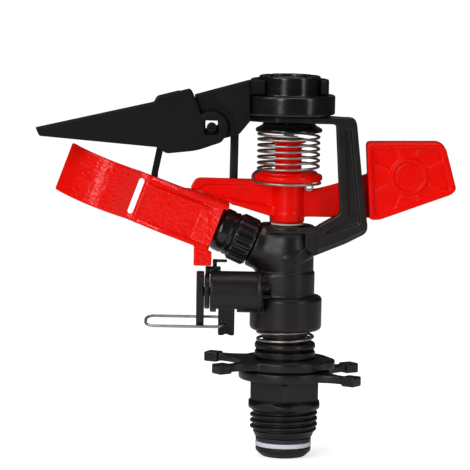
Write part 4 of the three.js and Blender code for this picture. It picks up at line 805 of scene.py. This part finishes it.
foot_x = back * math.cos(SPOON_TILT) + up * math.sin(SPOON_TILT)
foot_z = SPOON_RISE - back * math.sin(SPOON_TILT) + up * math.cos(SPOON_TILT)
foot = inside_line(rounded([
    [-28.7, 60.3, 0.4], [-23.2, 60.3, 0.4], [-23.2, 64.4, 0.4], [-24.4, 64.8, 0.3],
    [-24.4, 66.4], [-28.7, 66.4]]), foot_x, foot_z)
spoon = melt(spoon, bar(foot, y, -10.6, -7.0, 0.35), 0.4)
points, faces = skin(spoon, axes)
turn = np.array([[math.cos(SPOON_TILT), 0, -math.sin(SPOON_TILT)], [0, 1, 0],
                 [math.sin(SPOON_TILT), 0, math.cos(SPOON_TILT)]])
blade = new_piece("spoon_moulding", points @ turn + [0, 0, SPOON_RISE], faces, red_lapped, seams=False)
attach(blade, "arm")
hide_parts("arm_spoon")

# ---------------------------------------------------------------- arm spring
# Bright spring wire stands on the arm's disc and winds up to the seat under
# the bridge. Its last turn snaps under the disc and ends in an eye.

SPRING_RADIUS, SPRING_WIRE, SPRING_LOW, SPRING_HIGH, SPRING_TURNS = 9.4, 0.4, 89.75, 100.45, 6.6

spring_path = coil(SPRING_RADIUS, SPRING_LOW, SPRING_HIGH, SPRING_TURNS, 0.35, 1.2)
arm_spring = new_piece("arm_spring_wire", *wire(spring_path, SPRING_WIRE, (0, 0, 1)), steel_wire)
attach(arm_spring, "head")
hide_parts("arm_spring")

hook = np.linspace(0, 1, 220)
swing = np.radians(np.interp(hook, [0, 0.18, 0.88, 1.0], [120, 185, 402, 418]))
bend_out = np.interp(hook, [0, 0.10, 0.18, 0.24, 0.86, 1.0], [9.9, 10.6, 11.1, 10.9, 9.7, 8.6])
hook_low = np.interp(hook, [0, 0.10, 0.18, 0.24, 0.9, 1.0], [88.9, 88.4, 87.0, 85.75, 85.4, 84.6])
ease = np.hanning(17) / np.hanning(17).sum()
swing, bend_out, hook_low = [
    np.convolve(np.pad(v, 8, mode="edge"), ease, mode="valid") for v in (swing, bend_out, hook_low)]
hook_path = np.stack([bend_out * np.cos(swing), bend_out * np.sin(swing), hook_low], axis=1)
spring_end = new_piece("arm_spring_end", *wire(hook_path, SPRING_WIRE, (0, 0, 1)), steel_wire)
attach(spring_end, "arm")

turn_eye = np.linspace(0.3, 2 * math.pi, 40)
eye_path = np.stack([6.4 + 1.1 * np.cos(turn_eye), np.full(40, -2.6) - 0.25 * turn_eye,
                     84.6 + 1.1 * np.sin(turn_eye)], axis=1)
spring_eye = new_piece("arm_spring_eye", *wire(eye_path, 0.35, (0, 1, 0)), steel_wire)
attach(spring_eye, "arm")

# ------------------------------------------------- spring cap and upper seat
# The glossy cap sets the spring's tension: a wide plain tier, a smaller
# hub with a screwdriver slot, and a neck that carries the seat under the bar.

CAP_RADIUS, CAP_LOW, TIER_TOP, CAP_TOP, CAP_HUB, CAP_NECK = 14.1, 106.8, 112.7, 118.6, 9.5, 3.8

axes = lattice((-14.3, -14.3, 101.2), (14.3, 14.3, 118.9))
x, y, z = axes
around = np.hypot(x, y)
cap = melt(bar(around - CAP_RADIUS, z, CAP_LOW, TIER_TOP, 0.5),
           bar(around - CAP_HUB, z, TIER_TOP - 1, CAP_TOP, 0.5), 0.3)
cap = pare(cap, bar(around - (CAP_HUB - 2.2), z, CAP_TOP - 1.4, 130, 0.3), 0.3)
cap = melt(cap, bar(around - 4.6, z, CAP_TOP - 3, CAP_TOP - 0.5, 0.4), 0.4)
cap = melt(cap, bar(around - CAP_NECK, z, 101.5, CAP_LOW + 1, 0.3), 0.3)
cap = pare(cap, block(x, y, z, ((-4.3, 4.3), (-0.8, 0.8), (CAP_TOP - 2.4, 130)), 0.1), 0.2)
cap = pare(cap, bar(around - 1.9, z, 90, 116.3, 0.1), 0.2)
for notch_angle in (40, 130, 220, 310):
    turn = math.radians(notch_angle)
    off_notch = np.hypot(x - 8.35 * math.cos(turn), y - 8.35 * math.sin(turn))
    cap = pare(cap, bar(off_notch - 0.9, z, CAP_TOP - 0.5, 130, 0.1), 0.15)
cap_piece = new_piece("tension_cap_moulding", *skin(cap, axes), gloss_nylon, seams=False)
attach(cap_piece, "tension_cap")
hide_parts("spring_cap")

upper_seat = new_piece("upper_seat_disc", *lathed(rounded([
    [4.0, 101.2, 0.2], [10.3, 101.2, 0.5], [10.3, 102.2, 0.4], [8.4, 103.2, 0.6], [8.0, 103.9, 0.3],
    [4.0, 103.9, 0.2]])), gloss_nylon)
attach(upper_seat, "tension_cap")
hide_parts("upper_spring_seat")

# ----------------------------------------------------------------- deflector
# The bracket clips round the cap's hub and holds the long wing on a snap pin.
# The wing flattens the throw; a thin finger under it breaks up the jet.

# Black nylon from a finely ground mould, duller than the body. Its darker base colour is painted shade: a
# copy of the body's nylon, darkened for the deflector standing in less light.
shaded_dull_nylon = moulded_plastic("ground black nylon with painted shade", "#0D0A0B", "#171212", 0.44, 0.004, 0.012, 0.16)

CLIP_RADIUS, CLIP_LOW, CLIP_HIGH = 12.1, 112.9, 117.5
CLIP_ENDS = math.radians(216), math.radians(-20)  # where the clip's open side starts and stops
PIVOT_X, PIVOT_Z, PIVOT_BOSS, WINDOW_HALF = -23.8, 102.8, 5.0, 2.2
WING_NEAR, WING_FAR, PLATE_MID, PLATE_FAR = -9.0, -6.8, -6.5, -4.7

axes = lattice((-29.6, -9.3, 98.2), (12.4, 12.4, 117.8))
x, y, z = axes
around = np.hypot(x, y)
clip_ends = [(14 * math.cos(turn), 14 * math.sin(turn)) for turn in CLIP_ENDS]
open_side = inside_line([(0, 0), clip_ends[0], (-14, -22), (22, -22), clip_ends[1]], x, y)
clip = meet(meet(around - CLIP_RADIUS, 9.8 - around, 0.3), -open_side, 0.3)
bracket = bar(clip, z, CLIP_LOW, CLIP_HIGH, 0.35)
front = inside_line(rounded([
    [-12.4, CLIP_HIGH, 0.5], [-24.0, 114.3, 0.3], [PIVOT_X + 2.4, PIVOT_Z + 7.2], [-17.4, PIVOT_Z + 4.4],
    [-15.2, 101.0], [-12.0, 105.0]]), x, z)
bracket = melt(bracket, bar(front, y, WING_NEAR, PLATE_MID + 0.5, 0.3), 0.05)
rear = inside_line(rounded([
    [-12.4, CLIP_HIGH, 0.5], [-29.2, 112.7], [PIVOT_X - 4.4, PIVOT_Z - 1.5, 1.5],
    [PIVOT_X, PIVOT_Z - 4.6, 1.5], [-15.4, 100.6, 0.5], [-12.0, 105.0]]), x, z)
bracket = melt(bracket, bar(rear, y, PLATE_MID, PLATE_FAR, 0.25), 0.05)
corner = block(x, y, z, ((-12.6, -7.6), (WING_NEAR + 1.6, PLATE_FAR), (CLIP_LOW, CLIP_HIGH)), 0.3)
bracket = melt(bracket, corner, 0.05)
off_pivot = np.hypot(x - PIVOT_X, z - PIVOT_Z)
bracket = pare(bracket, bar(off_pivot - 1.4, y, -12, 0, 0.1), 0.15)
bracket = pare(bracket, bar(off_pivot - PIVOT_BOSS - 0.3, y, -12, PLATE_MID, 0.05), 0.2)
for right, low in ((1.8, 0.6), (-1.0, -0.5)):  # the gap seen over the pin, and the one to its left
    gap = ((PIVOT_X - 1.9, PIVOT_X + right), (-12, 0), (PIVOT_Z + low, PIVOT_Z + 1.9))
    bracket = pare(bracket, block(x, y, z, gap, 0.1), 0.1)
bracket = pare(bracket, bar(around - CAP_HUB - 0.3, z, CLIP_LOW - 1, 130, 0.1), 0.2)
bracket = pare(bracket, bar(around - CAP_RADIUS - 0.3, z, 90, CLIP_LOW, 0.1), 0.2)
holder = new_piece("deflector_holder", *skin(bracket, axes), shaded_dull_nylon, seams=False)
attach(holder, "head")
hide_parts("deflector_bracket")

axes = lattice((-78.2, -9.4, 78.3), (-18.5, 6.2, 115.0))
x, y, z = axes
off_pivot = np.hypot(x - PIVOT_X, z - PIVOT_Z)
wing_line = inside_line(rounded([
    [-77.8, 101.9, 0.4], [-76.6, 99.3, 0.4], [-40.0, 96.4], [-37.8, 94.5, 1.2],
    [-28.3, 95.6, 2], [-20.4, 98.4, 1.2],
    [PIVOT_X + PIVOT_BOSS - 0.4, PIVOT_Z - 1.2], [PIVOT_X + 2.6, PIVOT_Z + 3.4, 1.2],
    [PIVOT_X - 3.2, PIVOT_Z + 3.8], [-29.7, 113.4, 0.5], [-30.6, 114.7, 0.6], [-40.8, 111.9, 0.8],
    [-41.6, 110.4, 0.4]]), x, z)
wing = melt(bar(wing_line, y, WING_NEAR, WING_FAR, 0.3),
            bar(off_pivot - PIVOT_BOSS, y, WING_NEAR, WING_FAR, 0.3), 0.02)
shelf_line = inside_line(rounded([
    [-77.8, 101.9], [-76.6, 99.3], [-40.0, 96.4], [-37.6, 96.6], [-37.6, 98.4, 0.5],
    [-72.0, 101.0]]), x, z)
taper = y - 6.2 + np.maximum(-30 - x, 0) * 0.262
wing = melt(wing, meet(bar(shelf_line, y, -7.2, 6.0, 0.3), taper, 0.4), 0.25)
thumb = inside_line(rounded([
    [-30.2, 114.7, 0.6], [-40.8, 111.9, 1.0], [-41.6, 110.4, 0.4], [-40.6, 109.4], [-33.6, 110.6],
    [-30.4, 112.8]]), x, z)
near_only = inside_line(rounded([
    [-33.8, 115.2], [-40.8, 111.9, 1.0], [-41.6, 110.4, 0.4], [-40.6, 109.4], [-33.6, 110.6]]), x, z)
wing = melt(wing, bar(meet(thumb, near_only), y, -7.3, -2.5, 0.4), 0.05)
finger = inside_line(rounded([
    [-40.3, 97.7], [-38.2, 97.5], [-40.2, 87.6, 0.6], [-40.4, 78.6, 0.5], [-42.5, 78.6, 0.5],
    [-42.3, 87.6, 0.6]]), x, z)
wing = melt(wing, bar(finger, y, -1.4, 1.6, 0.3), 0.4)
window = np.maximum(np.abs(x - PIVOT_X), np.abs(z - PIVOT_Z)) - WINDOW_HALF  # the pin shows through it
wing = pare(wing, bar(window, y, -12, 0, 0.1), 0.15)
wing = pare(wing, bar(off_pivot - 1.5, y, -12, 0, 0.1), 0.15)
wing_piece = new_piece("deflector_wing", *skin(wing, axes), shaded_dull_nylon, seams=False)
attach(wing_piece, "deflector")
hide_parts("deflector_blade")

axes = lattice((-26.2, -9.0, 100.4), (-21.4, -4.0, 105.2), 0.15)
x, y, z = axes
off_pivot = np.hypot(x - PIVOT_X, z - PIVOT_Z)
pin = melt(bar(off_pivot - 1.55, y, -8.8, -7.2, 0.2), bar(off_pivot - 1.2, y, -8.4, -4.1, 0.2), 0.1)
pin = pare(pin, block(x, y, z, ((-30, -20), (-10, -8.5), (PIVOT_Z - 0.35, PIVOT_Z + 0.35)), 0.0), 0.1)
snap_pin = new_piece("snap_pin", *skin(pin, axes), shaded_dull_nylon, seams=False)
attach(snap_pin, "head")
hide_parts("deflector_pin")

# ------------------------------------------------------------ trip mechanism
# In the cross barrel a steel shaft carries the trip lever, the tab that the wire
# pin hangs from, and the pawl with a round hub and a finger that stops the arm.
# A snap spring is inside.

TRIP_TILT = math.radians(20)
WIRE_RADIUS, WIRE_DROP, WIRE_LEGS, WIRE_BEND = 0.475, 10.6, 3.3, 2.4
WIRE_START, WIRE_END = -19.3, -43.2


def tilted(points):
    """Points of a piece that hangs straight down, swung about the trip shaft to where it rests."""
    axle = np.array([0, TRIP_Y, TRIP_Z])
    swing = np.array([[1, 0, 0], [0, math.cos(TRIP_TILT), -math.sin(TRIP_TILT)],
                      [0, math.sin(TRIP_TILT), math.cos(TRIP_TILT)]])
    return (points - axle) @ swing.T + axle


points, faces = lathed(rounded([[0.001, -26.9], [1.3, -26.9, 0.2], [1.3, -7.6, 0.2], [0.001, -7.6]]), 64)
trip_shaft = new_piece("trip_shaft_pin", points[:, [2, 0, 1]] + [0, TRIP_Y, TRIP_Z], faces, steel_wire)
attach(trip_shaft, "lever")
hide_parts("trip_shaft")

axes = lattice((-28.0, -13.4, 40.0), (-25.0, -4.6, 59.6), 0.16)
x, y, z = axes
off_trip = np.hypot(y - TRIP_Y, z - TRIP_Z)
lever_line = inside_line(rounded([
    [TRIP_Y - 2.5, TRIP_Z - 11.8, 0.8], [TRIP_Y + 2.5, TRIP_Z - 11.8, 0.8],
    [TRIP_Y + 2.5, TRIP_Z, 3], [TRIP_Y + 1.9, TRIP_Z + 6.6, 1.6],
    [TRIP_Y - 1.9, TRIP_Z + 6.6, 1.6], [TRIP_Y - 2.5, TRIP_Z, 3]]), y, z)
lever_body = bar(melt(lever_line, off_trip - 3.6, 2.0), x, -27.7, -25.3, 0.4)
lever_body = pare(lever_body, bar(off_trip - 1.5, x, -27.1, -20, 0.1), 0.1)
points, faces = skin(lever_body, axes)
lever = new_piece("lever_moulding", tilted(points), faces, satin_nylon, seams=False)
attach(lever, "lever")
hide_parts("trip_lever")

axes = lattice((-21.2, -13.6, 37.1), (-15.5, -4.5, 56.9), 0.18)
x, y, z = axes
off_trip = np.hypot(y - TRIP_Y, z - TRIP_Z)
tab_line = inside_line(rounded([
    [-20.9, TRIP_Z, 0.1], [-20.9, TRIP_Z - 14.9, 0.7], [-19.4, TRIP_Z - 14.8], [-18.35, TRIP_Z - 14.2, 1],
    [-17.3, TRIP_Z - 14.8], [-15.8, TRIP_Z - 14.9, 0.7], [-15.8, TRIP_Z, 0.1]]), x, z)
tab_body = melt(bar(off_trip - 4.3, x, -20.9, -15.8, 0.3),
                bar(tab_line, y, TRIP_Y - 1.2, TRIP_Y + 1.2, 0.35), 0.05)
tab_body = pare(tab_body, bar(off_trip - 1.5, x, -30, -10, 0.1), 0.15)
pin_hole = np.hypot(x - WIRE_START, z - TRIP_Z + WIRE_DROP)
tab_body = pare(tab_body, bar(pin_hole - 0.78, y, -20, 0, 0.05), 0.15)
points, faces = skin(tab_body, axes)
tab = new_piece("tab_moulding", tilted(points), faces, satin_nylon, seams=False)
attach(tab, "lever")
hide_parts("trip_tab")

quarter = np.linspace(0, math.pi / 2, 9)
legs = []
for i, (end, side) in enumerate(((WIRE_START, -1), (WIRE_END, -1), (WIRE_END, 1), (WIRE_START, 1))):
    inward = WIRE_BEND if end == WIRE_END else -WIRE_BEND
    turn = -i * math.pi / 2 - quarter
    legs.append(np.stack([end + inward + WIRE_BEND * np.cos(turn),
                          TRIP_Y + side * (WIRE_LEGS - WIRE_BEND) + WIRE_BEND * np.sin(turn),
                          np.full(9, TRIP_Z - WIRE_DROP)], axis=1))
loop = np.concatenate([[[WIRE_START, TRIP_Y - 0.35, TRIP_Z - WIRE_DROP]], *legs,
                       [[WIRE_START, TRIP_Y + 0.35, TRIP_Z - WIRE_DROP]]])
points, faces = wire(loop, WIRE_RADIUS, (0, 0, 1), 14)
wire_pin = new_piece("wire_trip_pin", tilted(points), faces, steel_wire)
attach(wire_pin, "pin")
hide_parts("trip_pin")

PAWL_INNER, PAWL_OUTER, PAWL_LEFT, PAWL_MID, PAWL_RIGHT = 6.65, 7.75, -25.0, -23.8, -20.3
axes = lattice((-25.4, -14.6, 46.7), (-18.2, -3.4, 62.0), 0.16)
x, y, z = axes
off_trip = np.hypot(y - TRIP_Y, z - TRIP_Z)
lean = np.arctan2(y - TRIP_Y, z - TRIP_Z) - math.atan2(3.8, PAWL_OUTER)
spread = np.abs(lean) * off_trip - PAWL_OUTER * math.radians(17)
shell = meet(meet(off_trip - PAWL_OUTER, PAWL_INNER - off_trip), spread)
strap = bar(shell, x, PAWL_LEFT, PAWL_RIGHT, 0.2)
spoke = bar(meet(off_trip - PAWL_OUTER, spread), x, PAWL_LEFT, PAWL_MID, 0.2)
pawl_body = melt(spoke, bar(off_trip - 5.4, x, PAWL_LEFT - 0.1, PAWL_MID + 0.15, 0.15), 0.02)
behind, finger_top = (TRIP_Y + 2.6, TRIP_Y + 5.0), TRIP_Z + 9.4
post = block(x, y, z, ((-22.8, -21.5), behind, (TRIP_Z + 4, finger_top)), 0.3)
finger = block(x, y, z, ((-22.8, -18.4), behind, (finger_top - 0.7, finger_top)), 0.2)
hub = bar(off_trip - 5.0, x, PAWL_LEFT - 0.2, PAWL_MID + 0.2, 0.05)
pawl_body = melt(melt(pawl_body, hub), strap, 0.02)
pawl_body = melt(pawl_body, pare(melt(post, finger, 0.2), off_trip - PAWL_INNER), 0.2)
pawl_body = pare(pawl_body, bar(off_trip - 1.6, x, -30, -10, 0.1), 0.1)
pawl = new_piece("pawl_moulding", *skin(pawl_body, axes), satin_nylon, seams=False)
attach(pawl, "pawl")
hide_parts("reversing_pawl")

toggle_path = coil(3.4, -15.2, -9.6, 3.0, 0.3)
toggle = new_piece("toggle_spring_wire", *wire(
    toggle_path[:, [2, 0, 1]] + [0, TRIP_Y, TRIP_Z], 0.3, (1, 0, 0)), steel_wire)
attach(toggle, "head")
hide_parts("toggle_spring")
